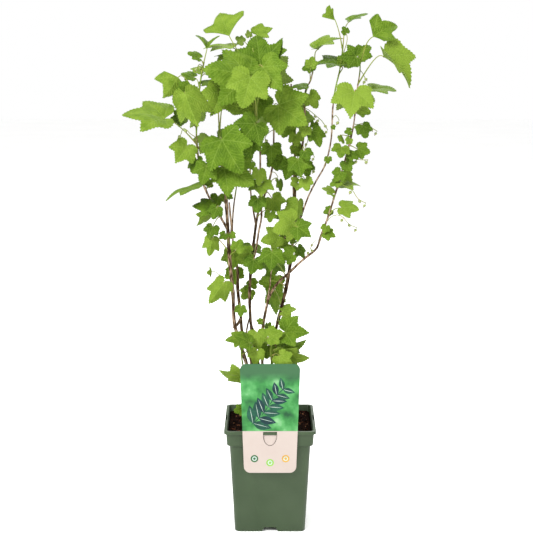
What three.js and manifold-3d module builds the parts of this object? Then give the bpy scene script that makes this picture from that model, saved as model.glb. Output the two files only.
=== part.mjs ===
// A young blackcurrant bush in a square nursery pot, with a plant label hooked on the rim.
// Millimetres, +Z up, the front of the pot towards -Y, the origin at the middle of the pot's foot.
import * as THREE from "three";
import { mergeVertices } from "three/addons/utils/BufferGeometryUtils.js";
import Module from "manifold-3d";

const wasm = await Module();
wasm.setup();

// Pot: half widths and heights
const POT_HEIGHT = 155;
const POT_FOOT_HALF = 50.5;
const POT_NECK_HALF = 57.3;
const POT_NECK_HEIGHT = 131;
const POT_BAND_HALF = 61.2;
const POT_BAND_TOP_HALF = 62.1;
const POT_LIP_HALF = 65;
const POT_LIP_FOOT = 149.8;
const POT_WALL = 1.8;
const POT_MOUTH_HALF = 60.9;
const POT_FLOOR = 8;
const POT_CORNER = 7;
const POT_INNER_CORNER = 5.5;
const FOOT_NOTCH = { wide: 24.5, narrow: 16, tall: 6.7, deep: 17 };
const RIM_SLOT = { half: 11, near: 62.2, far: 63.9 };

// Compost
const COMPOST_HEIGHT = 148;
const COMPOST_RINGS = [1, 0.84, 0.56, 0.24];
const COMPOST_EDGE_DROP = 2;
const COMPOST_RISE = 0.6;
const LUMP = { height: 1.8, perX: 0.23, shiftX: 1.1, perY: 0.19, shiftY: -0.4 };
const COMPOST_GAP = 0.35;
const STEM_GAP = 0.5;
const STEM_FOOT_HEIGHT = 104;
const SOIL_REACH = 156;

// Label: a tapered card with a tab that hooks over the strip of the rim in front of the slot
const CARD = { bottom: 95, top: 254, bottomHalf: 37, topHalf: 41.8, thick: 0.7, front: 66.1 };
const CARD_CORNER = { bottom: 10.5, top: 9.5 };
const TAB = { half: 9.4, bottom: 135.2, round: 14.5, under: 155.4, front: 63.3, lean: 0.125 };
const CUT_GAP = 0.4;

// Leaves: outline of half a blade as [turn in degrees from the middle lobe, reach as a share]
const BIG_LEAF = [[0, 1], [11, 0.86], [28, 0.68], [39, 0.74], [50, 0.84], [63, 0.7], [77, 0.57],
  [94, 0.61], [112, 0.48], [142, 0.24]];
const MIDDLING_LEAF = [[0, 1], [13, 0.84], [29, 0.67], [50, 0.84], [76, 0.57], [95, 0.6], [126, 0.37]];
const SMALL_LEAF = [[0, 1], [28, 0.67], [50, 0.84], [80, 0.57], [116, 0.46]];
const TINY_LEAF = [[0, 1], [38, 0.7], [96, 0.5]];
const BIG_REACH = 38;
const MIDDLING_REACH = 24;
const SMALL_REACH = 12;
const BLADE_THICK = 0.8;
const BLADE_CAMBER = 0.1;
const BLADE_DROOP = 0.16;

// Leaf stalks: each is a bowed curve, and a long one has more sections than a short one
const STALK_HALF = 0.8;
const STALK_SHARE = 0.05;
const STALK_SECTION = [[1, 0.7], [0, -1], [-1, 0.7]];
const STALK_RUN_ON = { share: 0.35, most: 12 };
const STALK_BOW = { share: 0.35, rise: 0.12 };
const BENDS_BY_SPAN = [0, 12, 38];

// Berries
const BERRY_RADIUS = 2.3;
const BERRY_ASIDE = 1.1;
const SPRAY_RADIUS = 0.6;

// Places on the bush are given as they are seen from here, on the plane y = 0, with a depth y.
const EYE = new THREE.Vector3(-5, -1656, 695);

const CANE_SIDES = 5;
const JOINT_TOLERANCE = 0.12;

// Canes. A path point is [x, z, depth y, radius]. A leaf is [height of its joint, x, z, depth y, reach
// of the middle lobe, bearing, lean towards the front, roll, fold of its sides towards its face,
// widest turn of its outline], placed at the foot of its blade.
// A spray is [height of its joint, depth y, berries, x, z, x, z, ...].
const CANES = {
  left_leader: {
    node: "cane_left",
    path: [[-12, 144, -4, 2.6], [-18, 182, -5, 2.6], [-28, 215, -7, 2.6], [-35, 240, -9, 2.6],
      [-45, 273, -12, 2.6], [-51, 296, -14, 2.6], [-53, 341, -18, 2.5], [-57, 385, -22, 2.4],
      [-60, 439, -24, 2.4], [-63, 494, -22, 2.1], [-66, 524, -20, 1.8], [-71, 579, -14, 1.3]],
    leaves: [
      [570, -67, 625, -32, 39, -115, 25, 10],
      [575, -79, 636, -2, 22, 175, -20, -70],
      [506, -87, 522, -22, 10, 180, 0, 20],
      [518, -76, 534, -24, 18, -100, 10, 40],
      [466, -73, 479, -8, 19, -94, 50, 0],
      [474, -58, 480, -38, 7, -30, 10, 0],
      [545, -67, 559, -62, 52, -59, 15, 0],
      [400, -82, 419, -38, 24, -100, 20, 0, -40],
      [409, -64, 426, -38, 11, -140, 20, 0],
      [418, -55, 426, -34, 9, -40, 20, 0],
      [394, -48, 404, -34, 16, 60, 0, 0],
      [342, -83, 372, -32, 12, -179, 55, 0, 0, 64],
      [339, -66, 355, -42, 35, -127, 15, -10, -45],
      [560, -50, 562, 36, 42, -100, -35, 180],
      [500, -65, 520, -50, 48, -32, 5, 30],
    ],
    sprays: [[381, -30, 1, -69, 370, -77, 361, -82, 351]],
  },
  left_branch: {
    node: "cane_left",
    path: [[-60, 432, -24, 1.8], [-73, 456, -26, 1.6], [-87, 481, -30, 1.4], [-96, 505, -33, 1.3],
      [-102, 552, -38, 1.2], [-102, 586, -40, 1.1], [-96, 641, -34, 1], [-91, 666, -30, 0.9]],
    leaves: [
      [663, -98, 671, -34, 17, 152, 10, -60],
      [650, -87, 683, -24, 32, 87, -68, 0, 40, 62],
      [617, -127, 645, -36, 36, -126, 20, 10, -15, 84],
      [608, -114, 630, -48, 18, 195, 16, -10],
      [630, -106, 645, -18, 18, 163, 0, -60],
      [552, -147, 588, -50, 56, 176, 5, -62],
      [594, -118, 623, -64, 51, -67, 20, 0, -46],
      [575, -120, 592, -20, 20, -160, 0, 150],
      [644, -94, 652, -2, 18, 160, -20, -60],
      [538, -116, 550, -52, 29, -125, 20, 0],
      [520, -102, 531, -40, 21, -105, 25, -45],
      [500, -89, 522, -62, 26, -105, 20, 0],
      [489, -82, 498, -22, 11, 180, 0, 20],
      [498, -101, 491, -42, 47, -161, 5, -88],
      [470, -82, 463, -42, 27, 175, 5, -55],
      [462, -86, 459, -28, 27, -131, 10, 60],
      [457, -75, 463, -52, 17, -110, 20, 0],
      [452, -81, 436, -36, 17, -110, 20, 0],
      [600, -100, 606, 18, 38, -160, -40, 170],
      [545, -86, 556, 22, 30, -125, -40, 180],
    ],
    sprays: [[562, -56, 2, -112, 568, -120, 575, -124, 567], [659, -32, 2, -97, 663, -100, 659]],
  },
  left_second: {
    node: "cane_left",
    path: [[-3, 144, 10, 2.4], [-12, 189, 10, 2.4], [-20, 224, 9, 2.4], [-30, 251, 8, 2.4],
      [-40, 283, 6, 2.3], [-42, 309, 6, 2.2], [-46, 345, 8, 2.2], [-46, 372, 8, 2], [-51, 400, 4, 1.6],
      [-53, 423, -4, 1.3], [-53, 443, -8, 1.2], [-51, 467, -10, 1.1], [-47, 494, -12, 0.9]],
    leaves: [
      [384, -51, 399, -8, 26, -100, 0, 0],
      [349, -50, 374, 22, 22, -90, 10, 0],
      [322, -42, 320, -26, 14, -90, 20, 0],
      [395, -50, 400, 46, 26, -90, -35, 180],
    ],
    sprays: [],
  },
  left_knot: {
    node: "cane_left",
    path: [[-52, 290, -12, 2], [-47, 294, -4, 2], [-42, 303, 6, 2]],
    leaves: [],
    sprays: [],
  },
  middle: {
    node: "cane_middle",
    path: [[3, 144, 22, 2.2], [-6, 189, 20, 2.2], [-15, 227, 17, 2.2], [-25, 280, 14, 2.2],
      [-28, 302, 13, 2.1], [-29, 347, 12, 2], [-25, 397, 12, 2.1], [-19, 447, 12, 1.9]],
    leaves: [
      [386, -28, 399, -14, 18, 185, 10, 0],
      [366, -23, 389, -26, 22, -100, 25, 0],
      [342, -27, 358, 24, 14, -60, 0, 0],
      [329, -29, 345, 26, 18, -130, 0, 0],
      [290, -20, 276, 46, 26, -90, -30, 180],
      [410, -26, 408, 44, 24, -100, -40, 180],
    ],
    sprays: [],
  },
  middle_low: {
    node: "cane_middle",
    path: [[-18, 144, 18, 1.4], [-23, 204, 18, 1.4], [-29, 245, 18, 1.3], [-34, 277, 17, 1.3],
      [-32, 294, 15, 1.3], [-28, 308, 13, 1.3]],
    leaves: [],
    sprays: [],
  },
  middle_fork: {
    node: "cane_middle",
    path: [[-20, 440, 12, 1.5], [-23, 456, 12, 1.3], [-27, 483, 16, 1.2], [-28, 524, 20, 1]],
    leaves: [
      [522, -28, 541, 2, 16, 190, 0, 0],
      [514, -27, 528, -6, 14, -130, 10, 0],
    ],
    sprays: [],
  },
  middle_branch: {
    node: "cane_middle",
    path: [[-20, 438, 12, 1.7], [-16, 460, 14, 1.6], [-6, 486, 18, 1.5], [3, 520, 22, 1.4],
      [5, 552, 22, 1.3], [5, 597, 16, 1.1]],
    leaves: [
      [592, 12, 607, -26, 50, -34, 20, 0],
      [486, 3, 476, -6, 24, -60, 20, 0],
      [450, 0, 456, -24, 14, -90, 20, 0],
      [545, 2, 549, 0, 24, -90, 30, 0],
      [524, 7, 534, 0, 20, -80, 20, 0],
      [497, 12, 501, -6, 15, -80, 10, 60],
      [590, 26, 602, 52, 46, -30, -40, 180],
    ],
    sprays: [[514, 16, 1, 7, 513, 11, 507], [573, 12, 2, -3, 568, -7, 561, -6, 554]],
  },
  middle_leader: {
    node: "cane_middle",
    path: [[-24, 388, 12, 1.6], [-20, 403, 4, 1.5], [-16, 429, -4, 1.5], [-12, 452, -8, 1.5],
      [-14, 485, -12, 1.4], [-14, 545, -18, 1.3], [-18, 584, -20, 1.3], [-19, 604, -20, 1.2],
      [-17, 624, -18, 1.1], [-22, 669, -10, 0.9], [-24, 685, -8, 0.8]],
    leaves: [
      [625, -56, 701, 2, 46, 114, -45, 0, 15, 64],
      [641, -53, 685, 10, 40, 180, -10, -82],
      [633, -54, 673, 18, 25, 178, -20, -75],
      [619, -31, 645, -36, 62, 169, 15, -30, -12],
      [660, -13, 659, -13, 50, 98, -30, 0, 15],
      [679, -18, 702, 20, 24, 20, -10, 45],
      [675, -28, 701, 15, 9, 110, 0, 150],
      [671, -37, 694, 14, 12, 150, 0, 150],
      [652, 5, 673, 0, 28, 60, -10, 55],
      [644, -10, 659, -58, 42, -50, 20, 0],
      [592, -27, 645, -70, 44, -106, 20, 0],
      [578, -21, 581, -52, 36, -130, 20, 0],
      [597, -17, 617, 8, 40, -110, 0, 0],
      [545, -23, 557, -42, 20, -105, 20, 0],
      [508, -17, 515, -36, 22, -90, 20, 40],
      [489, -12, 497, -32, 26, -90, 52, 0],
      [466, -17, 476, -36, 20, -95, 20, 0],
      [584, -32, 613, -4, 28, -140, 0, 0],
      [655, -42, 642, 42, 46, 150, -35, 175],
      [625, 0, 652, 42, 44, 40, -40, 180],
      [560, -15, 590, 50, 36, -80, -50, 180],
    ],
    sprays: [],
  },
  right: {
    node: "cane_right",
    path: [[-12, 144, -16, 2.2], [-12, 189, -15, 2.2], [-11, 244, -13, 2.2], [-11, 283, -12, 2.1],
      [-6, 315, -12, 2.1], [0, 338, -12, 2], [11, 355, -13, 1.9], [26, 369, -14, 1.9],
      [47, 389, -14, 1.7], [62, 401, -14, 1.7], [67, 407, -14, 1.7], [73, 426, -14, 1.5],
      [79, 442, -16, 1.4], [90, 477, -20, 1.3], [105, 531, -24, 1.2], [116, 579, -24, 1.1],
      [120, 625, -24, 1], [124, 655, -24, 0.9], [123, 671, -24, 0.8]],
    leaves: [
      [663, 141, 700, -30, 38, 26, -15, 28, 25, 84],
      [665, 122, 674, -6, 22, 43, -10, 30],
      [668, 118, 673, -36, 24, -180, 15, 0],
      [636, 156, 673, -42, 54, -48, 5, 58, 35],
      [619, 117, 625, -48, 42, -102, 36, -10],
      [606, 142, 628, -8, 32, -5, 0, 76],
      [595, 126, 602, -26, 15, -25, 10, 0],
      [575, 128, 578, -32, 18, -70, 10, 0],
      [567, 112, 571, -28, 9, 190, 0, 0],
      [563, 97, 563, -26, 11, -60, 10, 60],
      [552, 111, 560, -30, 9, -120, 10, 0],
      [545, 100, 548, -34, 20, -105, 48, 0],
      [551, 123, 546, -16, 18, -15, 10, 0],
      [534, 110, 539, -32, 15, -25, 10, 50],
      [520, 106, 528, -32, 16, -60, 20, 0],
      [505, 99, 514, -32, 17, -125, 20, 0],
      [508, 103, 511, -14, 17, -45, 10, 40],
      [511, 97, 500, -32, 14, 200, 10, -45],
      [489, 101, 494, -16, 26, 2, 0, 76],
      [474, 87, 483, -26, 17, 149, 10, -65],
      [453, 101, 463, -36, 24, -5, 10, 50],
      [450, 86, 460, -10, 12, 200, 0, -20],
      [429, 79, 437, -26, 11, -110, 20, 0],
      [420, 78, 427, -24, 16, -16, 10, 40],
      [291, -12, 299, -18, 8, 170, 0, 0],
      [285, -4, 295, -18, 12, -90, 10, 50],
      [622, 118, 618, 16, 40, -80, -50, 180],
    ],
    sprays: [[581, -26, 3, 122, 580, 130, 582, 139, 577, 149, 571],
      [539, -28, 3, 117, 533, 127, 531, 137, 531], [498, -42, 3, 106, 494, 115, 489, 124, 476, 135, 470],
      [442, -20, 3, 89, 452, 100, 452, 113, 439, 123, 435], [417, -18, 3, 64, 417, 59, 409, 56, 402],
      [655, -26, 2, 128, 650, 132, 642]],
  },
  right_twig: {
    node: "cane_right",
    path: [[-6, 314, -12, 1.2], [-4, 330, -17, 1], [0, 352, -14, 0.9], [2, 372, -10, 0.9],
      [14, 406, -2, 0.8], [22, 422, 2, 0.7]],
    leaves: [
      [400, 12, 423, -14, 26, 195, 15, 0],
      [413, 25, 412, -6, 14, 200, 20, 0],
      [383, 3, 400, -36, 27, -95, 20, 0],
      [417, 20, 426, 8, 12, -90, 0, 20],
    ],
    sprays: [],
  },
  back: {
    node: "cane_back",
    path: [[16, 144, 4, 2.2], [13, 189, 5, 2.2], [8, 244, 8, 2.2], [7, 273, 9, 2.2], [9, 289, 10, 2.2],
      [18, 326, 11, 2.3], [24, 352, 12, 2.4], [31, 403, 12, 2.3], [34, 447, 12, 2.2], [35, 481, 12, 1.9],
      [36, 508, 10, 1.7], [44, 542, 8, 1.6], [48, 586, 8, 1.3], [48, 617, 8, 1.2], [50, 630, 8, 1.1],
      [56, 641, 6, 1], [62, 669, 2, 0.8]],
    leaves: [
      [619, 49, 632, -2, 20, 180, 0, -72],
      [614, 54, 621, -2, 22, -60, 10, 30],
      [564, 50, 575, -28, 14, -110, 20, 0],
      [580, 61, 582, 6, 13, -90, 20, 40],
      [572, 58, 571, -14, 25, -62, 15, 40],
      [508, 29, 525, -4, 24, -110, 20, 0],
      [525, 39, 531, -18, 26, -80, 20, 0],
      [518, 50, 525, -2, 18, -80, 20, 0],
      [546, 49, 543, -26, 15, -70, 20, 0],
      [494, 38, 498, -10, 16, 190, 45, -20],
      [503, 49, 503, -12, 17, -75, 20, 0],
      [473, 39, 472, -8, 29, -96, 20, 20, -40],
      [423, 34, 443, -26, 34, 200, 20, 0],
      [396, 39, 436, -40, 24, -35, 20, 10],
      [394, 39, 406, 0, 18, -60, 10, 50],
      [384, 32, 397, -18, 20, 190, 25, 0],
      [403, 35, 416, -10, 12, 170, 0, -60],
      [663, 66, 683, 0, 37, 23, 0, 77, 17],
      [652, 59, 660, 4, 16, 200, 0, -40],
      [640, 56, 660, -18, 14, 80, 0, 0],
      [342, 8, 365, 30, 26, -120, 0, 0],
      [322, 6, 342, 42, 35, -85, 0, 0, -50],
      [350, -3, 358, 20, 14, 190, 0, 0],
      [306, 18, 313, 4, 21, 8, 0, 60],
      [298, 20, 307, -18, 12, -20, 10, 0],
      [440, 30, 448, 46, 32, -120, -40, 180],
      [360, 5, 384, 52, 30, -100, -30, 180],
      [260, 22, 264, 42, 26, -30, -40, 180],
    ],
    sprays: [[603, -4, 4, 54, 600, 64, 592, 72, 585, 80, 573], [536, -4, 1, 53, 540, 58, 541, 62, 535],
      [524, 6, 1, 57, 523, 63, 518], [568, -4, 3, 53, 561, 50, 550, 49, 543]],
  },
  back_stub: {
    node: "cane_back",
    path: [[34, 466, 12, 1.6], [33, 496, 18, 1.5], [35, 531, 24, 1.4], [30, 573, 27, 1.3],
      [29, 636, 26, 1.2]],
    leaves: [
      [573, 25, 582, 5, 22, -110, 10, 20],
      [559, 36, 566, -3, 17, -85, 10, 0],
      [545, 35, 550, 10, 16, -70, 0, 20],
      [512, 25, 528, 46, 28, -100, -40, 180],
      [575, 40, 587, 52, 30, -60, -40, 170],
    ],
    sprays: [],
  },
  back_branch: {
    node: "cane_back",
    path: [[33, 414, 12, 1.6], [41, 442, 6, 1.4], [53, 477, -2, 1.2], [64, 500, -6, 1.2],
      [77, 524, -10, 1.1], [85, 559, -14, 1.1], [87, 603, -16, 1.1], [90, 628, -18, 1],
      [96, 655, -20, 0.9], [100, 686, -20, 0.8]],
    leaves: [
      [683, 89, 722, -20, 23, 113, -20, 30, 50, 62],
      [670, 110, 721, -15, 25, 19, 0, 78],
      [660, 104, 705, -28, 10, 120, 0, -20],
      [647, 98, 659, -8, 40, 179, 5, -75, 18],
      [660, 100, 663, -8, 16, 70, 0, 0],
      [573, 87, 578, -26, 6, -60, 0, 0],
      [524, 81, 534, -22, 9, -90, 10, 0],
    ],
    sprays: [[588, -18, 1, 91, 593, 96, 586]],
  },
  shoot_right: {
    node: "shoot_right",
    path: [[6, 144, -26, 1.6], [4, 189, -26, 1.5], [2, 250, -26, 1.3], [1, 274, -26, 1], [-2, 292, -25, 0.9]],
    leaves: [
      [262, 22, 283, -46, 35, 4, 20, 25, 25],
      [272, -1, 276, -56, 21, 23, 10, 20],
      [254, 19, 262, -20, 35, 16, 5, -45],
      [247, 16, 252, -38, 41, -5, 5, -45],
      [238, 14, 248, -58, 22, -40, 14, 0],
    ],
    sprays: [],
  },
  shoot_left: {
    node: "shoot_left",
    path: [[-23, 144, -26, 1.5], [-29, 189, -27, 1.4], [-39, 233, -28, 1.2], [-41, 254, -28, 1.1],
      [-38, 270, -28, 1]],
    leaves: [
      [254, -19, 282, -31, 24, -84, 20, 0],
      [249, -19, 255, -46, 20, -100, 20, 0],
      [263, -40, 273, -34, 24, -172, 10, -62],
      [268, -30, 267, -53, 24, 150, 10, -55],
      [224, -39, 218, -44, 35, 168, 0, 45],
      [188, -39, 169, -46, 14, 200, 0, 0],
    ],
    sprays: [],
  },
};

const COLOURS = {
  pot: "#566b4e",
  compost: "#2a1c14",
  label: "#5e8f63",
  cane_left: "#6f8f3c",
  cane_middle: "#7a9a44",
  cane_right: "#84a54c",
  cane_back: "#68883a",
  shoot_right: "#8cb046",
  shoot_left: "#86aa42",
};

// A closed geometry as a solid that can be joined and cut
function solidOf(geometry) {
  const bare = geometry.index ? geometry.toNonIndexed() : geometry;
  const positions = new THREE.BufferGeometry().setAttribute("position", bare.getAttribute("position"));
  const merged = mergeVertices(positions, 1e-4);
  return new wasm.Manifold(
    new wasm.Mesh({
      numProp: 3,
      vertProperties: merged.attributes.position.array,
      triVerts: new Uint32Array(merged.index.array),
    }),
  );
}

// A solid back as the geometry of a mesh
function geometryOf(solid) {
  const mesh = solid.getMesh();
  const geometry = new THREE.BufferGeometry()
    .setAttribute("position", new THREE.BufferAttribute(mesh.vertProperties, 3))
    .setIndex(new THREE.BufferAttribute(mesh.triVerts, 1));
  geometry.computeVertexNormals();
  return geometry;
}

// Points and triangles as a solid
function solidFrom(points, faces) {
  const geometry = new THREE.BufferGeometry().setFromPoints(points);
  return solidOf(geometry.setIndex(faces.flat()));
}

// Rings of points, each wound alike about the way up, skinned and closed with a flat cap at both ends
function loft(rings) {
  const count = rings[0].length;
  const faces = [];
  for (let ring = 0; ring + 1 < rings.length; ring++) {
    for (let i = 0; i < count; i++) {
      const a = ring * count + i;
      const b = ring * count + ((i + 1) % count);
      faces.push([a, b, b + count], [a, b + count, a + count]);
    }
  }
  const last = (rings.length - 1) * count;
  for (let i = 1; i + 1 < count; i++) {
    faces.push([0, i + 1, i], [last, last + i, last + i + 1]);
  }
  return solidFrom(rings.flat(), faces);
}

// A tapered rod through the points, with the radius at each
function rod(points, radii, sides) {
  let side = new THREE.Vector3(1, 0.2, 0);
  const rings = points.map((point, i) => {
    const ahead = points[Math.min(i + 1, points.length - 1)];
    const behind = points[Math.max(i - 1, 0)];
    const along = ahead.clone().sub(behind).normalize();
    side = side.clone().addScaledVector(along, -side.dot(along)).normalize();
    const other = along.clone().cross(side);
    return Array.from({ length: sides }, (_, k) => {
      const turn = (2 * Math.PI * k) / sides;
      return point
        .clone()
        .addScaledVector(side, radii[i] * Math.cos(turn))
        .addScaledVector(other, radii[i] * Math.sin(turn));
    });
  });
  return loft(rings);
}

// The point at depth y that is seen from the eye at (x, z) of the plane y = 0
function seenAt(x, z, y) {
  const onPlane = new THREE.Vector3(x, 0, z);
  return EYE.clone().lerp(onPlane, (y - EYE.y) / -EYE.y);
}

// A cane's centre line in space, with a straight foot down in the compost
function caneLine(cane) {
  const points = cane.path.map(([x, z, y]) => seenAt(x, z, y));
  const radii = cane.path.map((point) => point[3]);
  const heights = cane.path.map((point) => point[1]);
  if (points[0].z < SOIL_REACH) {
    points.unshift(new THREE.Vector3(points[0].x, points[0].y, STEM_FOOT_HEIGHT));
    radii.unshift(radii[0]);
    heights.unshift(STEM_FOOT_HEIGHT);
  }
  return { points, radii, heights };
}

// The point and the radius of a cane at a height that is read from the front
function pointAt({ points, radii, heights }, height) {
  const top = heights.length - 1;
  const level = Math.min(height, heights[top] - 1);
  const high = Math.max(1, heights.findIndex((each) => each >= level));
  const share = (level - heights[high - 1]) / (heights[high] - heights[high - 1]);
  const at = points[high - 1].clone().lerp(points[high], share);
  return { at, radius: THREE.MathUtils.lerp(radii[high - 1], radii[high], share) };
}

// Directions of a blade: along its middle lobe, across it, and out of its upper face
function bladeAxes(bearing, lean, roll) {
  const [b, l, r] = [bearing, lean, roll].map(THREE.MathUtils.degToRad);
  const along = new THREE.Vector3(Math.cos(l) * Math.cos(b), -Math.sin(l), Math.cos(l) * Math.sin(b));
  const front = new THREE.Vector3(0, -1, 0);
  const level = front.clone().addScaledVector(along, -front.dot(along)).normalize();
  const face = level
    .clone()
    .multiplyScalar(Math.cos(r))
    .addScaledVector(level.clone().cross(along), Math.sin(r));
  return { along, across: face.clone().cross(along), face };
}

// The outline that suits a leaf of this reach
function outlineFor(reach) {
  if (reach >= BIG_REACH) return BIG_LEAF;
  if (reach >= MIDDLING_REACH) return MIDDLING_LEAF;
  return reach >= SMALL_REACH ? SMALL_LEAF : TINY_LEAF;
}

// A leaf: the blade is one closed sheet, and its stalk runs on from the blade's foot into the cane
function leaf(line, [joint, x, z, y, reach, bearing, lean, roll, fold = 0, spread = 180]) {
  const { along, across, face } = bladeAxes(bearing, lean, roll);
  const foot = seenAt(x, z, y);
  const half = outlineFor(reach).filter(([turn]) => turn <= spread);
  const tilt = THREE.MathUtils.degToRad(fold);
  const mirrored = half.slice(1).reverse().map(([turn, share]) => [-turn, share]);
  const rim = [...mirrored, ...half].map(([turn, share]) => {
    const forward = reach * share * Math.cos(THREE.MathUtils.degToRad(turn));
    const sideways = reach * share * Math.sin(THREE.MathUtils.degToRad(turn));
    const crown = 4 * BLADE_CAMBER * reach * share * (1 - share);
    const rise = crown + Math.abs(sideways) * Math.sin(tilt) - (BLADE_DROOP * sideways ** 2) / reach;
    return foot
      .clone()
      .addScaledVector(along, forward)
      .addScaledVector(across, sideways * Math.cos(tilt))
      .addScaledVector(face, rise);
  });
  const stalkHalf = Math.min(STALK_HALF, reach * STALK_SHARE);
  const right = foot.clone().addScaledVector(across, -stalkHalf);
  const left = foot.clone().addScaledVector(across, stalkHalf);
  const loop = [right, ...rim, left];
  const count = loop.length;
  const points = [
    ...loop.map((p) => p.clone().addScaledVector(face, BLADE_THICK / 2)),
    ...loop.map((p) => p.clone().addScaledVector(face, -BLADE_THICK / 2)),
  ];
  const faces = [];
  const tip = half.length;
  for (let i = 1; i + 2 < count; i++) {
    const apex = i < tip ? 0 : count - 1;
    faces.push([apex, i, i + 1], [apex + count, i + 1 + count, i + count]);
  }
  faces.push([0, tip, count - 1], [count, 2 * count - 1, tip + count]);
  for (let i = 0; i + 1 < count; i++) {
    faces.push([i, i + count, i + 1 + count], [i, i + 1 + count, i + 1]);
  }
  addStalk(points, faces, line, { joint, foot, along, across, stalkHalf, count });
  return solidFrom(points, faces);
}

// The stalk: three-sided, skinned on to the open edge at the blade's foot, and run back in a bow to a
// point on the middle line of its cane
function addStalk(points, faces, line, { joint, foot, along, across, stalkHalf, count }) {
  const { at: start, radius } = pointAt(line, joint);
  const span = start.distanceTo(foot);
  const runOn = Math.min(STALK_RUN_ON.share * span, STALK_RUN_ON.most);
  const behind = foot.clone().addScaledVector(along, -runOn);
  const bow = start.clone().lerp(foot, STALK_BOW.share);
  bow.z += STALK_BOW.rise * span;
  const curve = new THREE.CubicBezierCurve3(foot, behind, bow, start);
  const atBark = Math.max(0.5, 1 - (radius + stalkHalf) / span);
  const bends = BENDS_BY_SPAN.filter((least) => span > least).length;
  let side = across.clone();
  let ring = null;
  for (let step = 1; step <= bends; step++) {
    const share = (atBark * step) / bends;
    const at = curve.getPoint(share);
    const back = curve.getTangent(share).negate();
    side = side.addScaledVector(back, -side.dot(back)).normalize();
    const up = back.clone().cross(side);
    const next = STALK_SECTION.map((_, k) => points.length + k);
    for (const [s, u] of STALK_SECTION) {
      const corner = at.clone().addScaledVector(side, s * stalkHalf).addScaledVector(up, u * stalkHalf);
      points.push(corner);
    }
    if (ring) {
      next.forEach((_, k) => {
        const n = (k + 1) % next.length;
        faces.push([ring[k], ring[n], next[n]], [ring[k], next[n], next[k]]);
      });
    } else {
      const [leftTop, leftBelow, rightBelow, rightTop] = [count - 1, 2 * count - 1, count, 0];
      const [left, below, right] = next;
      faces.push([leftTop, leftBelow, below], [leftTop, below, left], [leftBelow, rightBelow, below]);
      faces.push([rightBelow, rightTop, right], [rightBelow, right, below]);
      faces.push([rightTop, leftTop, left], [rightTop, left, right]);
    }
    ring = next;
  }
  points.push(start);
  ring.forEach((corner, k) => faces.push([corner, ring[(k + 1) % ring.length], points.length - 1]));
}

// A spray: a thin hanging stalk with small round berries set on either side of its last stretch
function spray(line, [joint, y, berries, ...places]) {
  const [firstX, firstZ] = places;
  const [lastX, lastZ] = places.slice(-2);
  const knee = seenAt(firstX, firstZ, y);
  const tip = seenAt(lastX, lastZ, y);
  const radii = [SPRAY_RADIUS, SPRAY_RADIUS, SPRAY_RADIUS];
  const solids = [rod([pointAt(line, joint).at, knee, tip], radii, 3)];
  for (let k = 0; k < berries; k++) {
    const at = tip.clone().lerp(knee, k / berries);
    at.x += (k % 2 ? 1 : -1) * BERRY_ASIDE;
    at.z -= BERRY_ASIDE;
    solids.push(solidOf(new THREE.OctahedronGeometry(BERRY_RADIUS).translate(at.x, at.y, at.z)));
  }
  return wasm.Manifold.union(solids);
}

// Every cane, leaf and spray of one node, joined into one solid
function leafyNode(name) {
  const solids = [];
  for (const cane of Object.values(CANES).filter((entry) => entry.node === name)) {
    const line = caneLine(cane);
    solids.push(rod(line.points, line.radii, CANE_SIDES));
    cane.leaves.forEach((row) => solids.push(leaf(line, row)));
    cane.sprays.forEach((row) => solids.push(spray(line, row)));
  }
  return wasm.Manifold.union(solids).simplify(JOINT_TOLERANCE);
}

// A square ring with round corners
function squareRing(half, corner, z) {
  const ring = [];
  for (let quarter = 0; quarter < 4; quarter++) {
    for (let k = 0; k < 4; k++) {
      const turn = (quarter * Math.PI) / 2 + (k * Math.PI) / 6;
      const middle = (quarter * Math.PI) / 2 + Math.PI / 4;
      const reach = (half - corner) * Math.SQRT2;
      ring.push(
        new THREE.Vector3(
          reach * Math.cos(middle) + corner * Math.cos(turn),
          reach * Math.sin(middle) + corner * Math.sin(turn),
          z,
        ),
      );
    }
  }
  return ring;
}

function box(x0, x1, y0, y1, z0, z1) {
  const geometry = new THREE.BoxGeometry(x1 - x0, y1 - y0, z1 - z0);
  return solidOf(geometry.translate((x0 + x1) / 2, (y0 + y1) / 2, (z0 + z1) / 2));
}

// The pot: a tapered shell with a deep band and a lip, a notch in each foot edge and a slot in each rim
function pot() {
  const outer = [
    [POT_FOOT_HALF - 1, 0],
    [POT_FOOT_HALF, 1.5],
    [POT_NECK_HALF, POT_NECK_HEIGHT],
    [POT_BAND_HALF - 1.2, POT_NECK_HEIGHT + 0.8],
    [POT_BAND_HALF, POT_NECK_HEIGHT + 3],
    [POT_BAND_TOP_HALF, POT_LIP_FOOT],
    [POT_LIP_HALF - 0.8, POT_LIP_FOOT + 0.4],
    [POT_LIP_HALF, POT_LIP_FOOT + 1.2],
    [POT_LIP_HALF, POT_HEIGHT - 1],
    [POT_LIP_HALF - 1, POT_HEIGHT],
  ];
  const inner = insideOfPot(0);
  const shell = loft(outer.map(([half, z]) => squareRing(half, POT_CORNER, z)));
  let made = shell.subtract(loft(inner));
  for (let quarter = 0; quarter < 4; quarter++) {
    const turned = new THREE.Matrix4().makeRotationZ((quarter * Math.PI) / 2);
    made = made.subtract(rimSlot().transform(turned.toArray()));
    made = made.subtract(footNotch().transform(turned.toArray()));
  }
  return made;
}

// Rings of the pot's inside, drawn in by a gap for what fills it
function insideOfPot(gap) {
  const halves = [
    [POT_FOOT_HALF - POT_WALL, POT_FLOOR + gap],
    [POT_NECK_HALF - POT_WALL, POT_NECK_HEIGHT - 1],
    [POT_BAND_HALF - POT_WALL, POT_NECK_HEIGHT + 4],
  ];
  if (gap === 0) halves.push([POT_MOUTH_HALF, POT_HEIGHT + 1]);
  return halves.map(([half, z]) => squareRing(half - gap, POT_INNER_CORNER, z));
}

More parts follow.
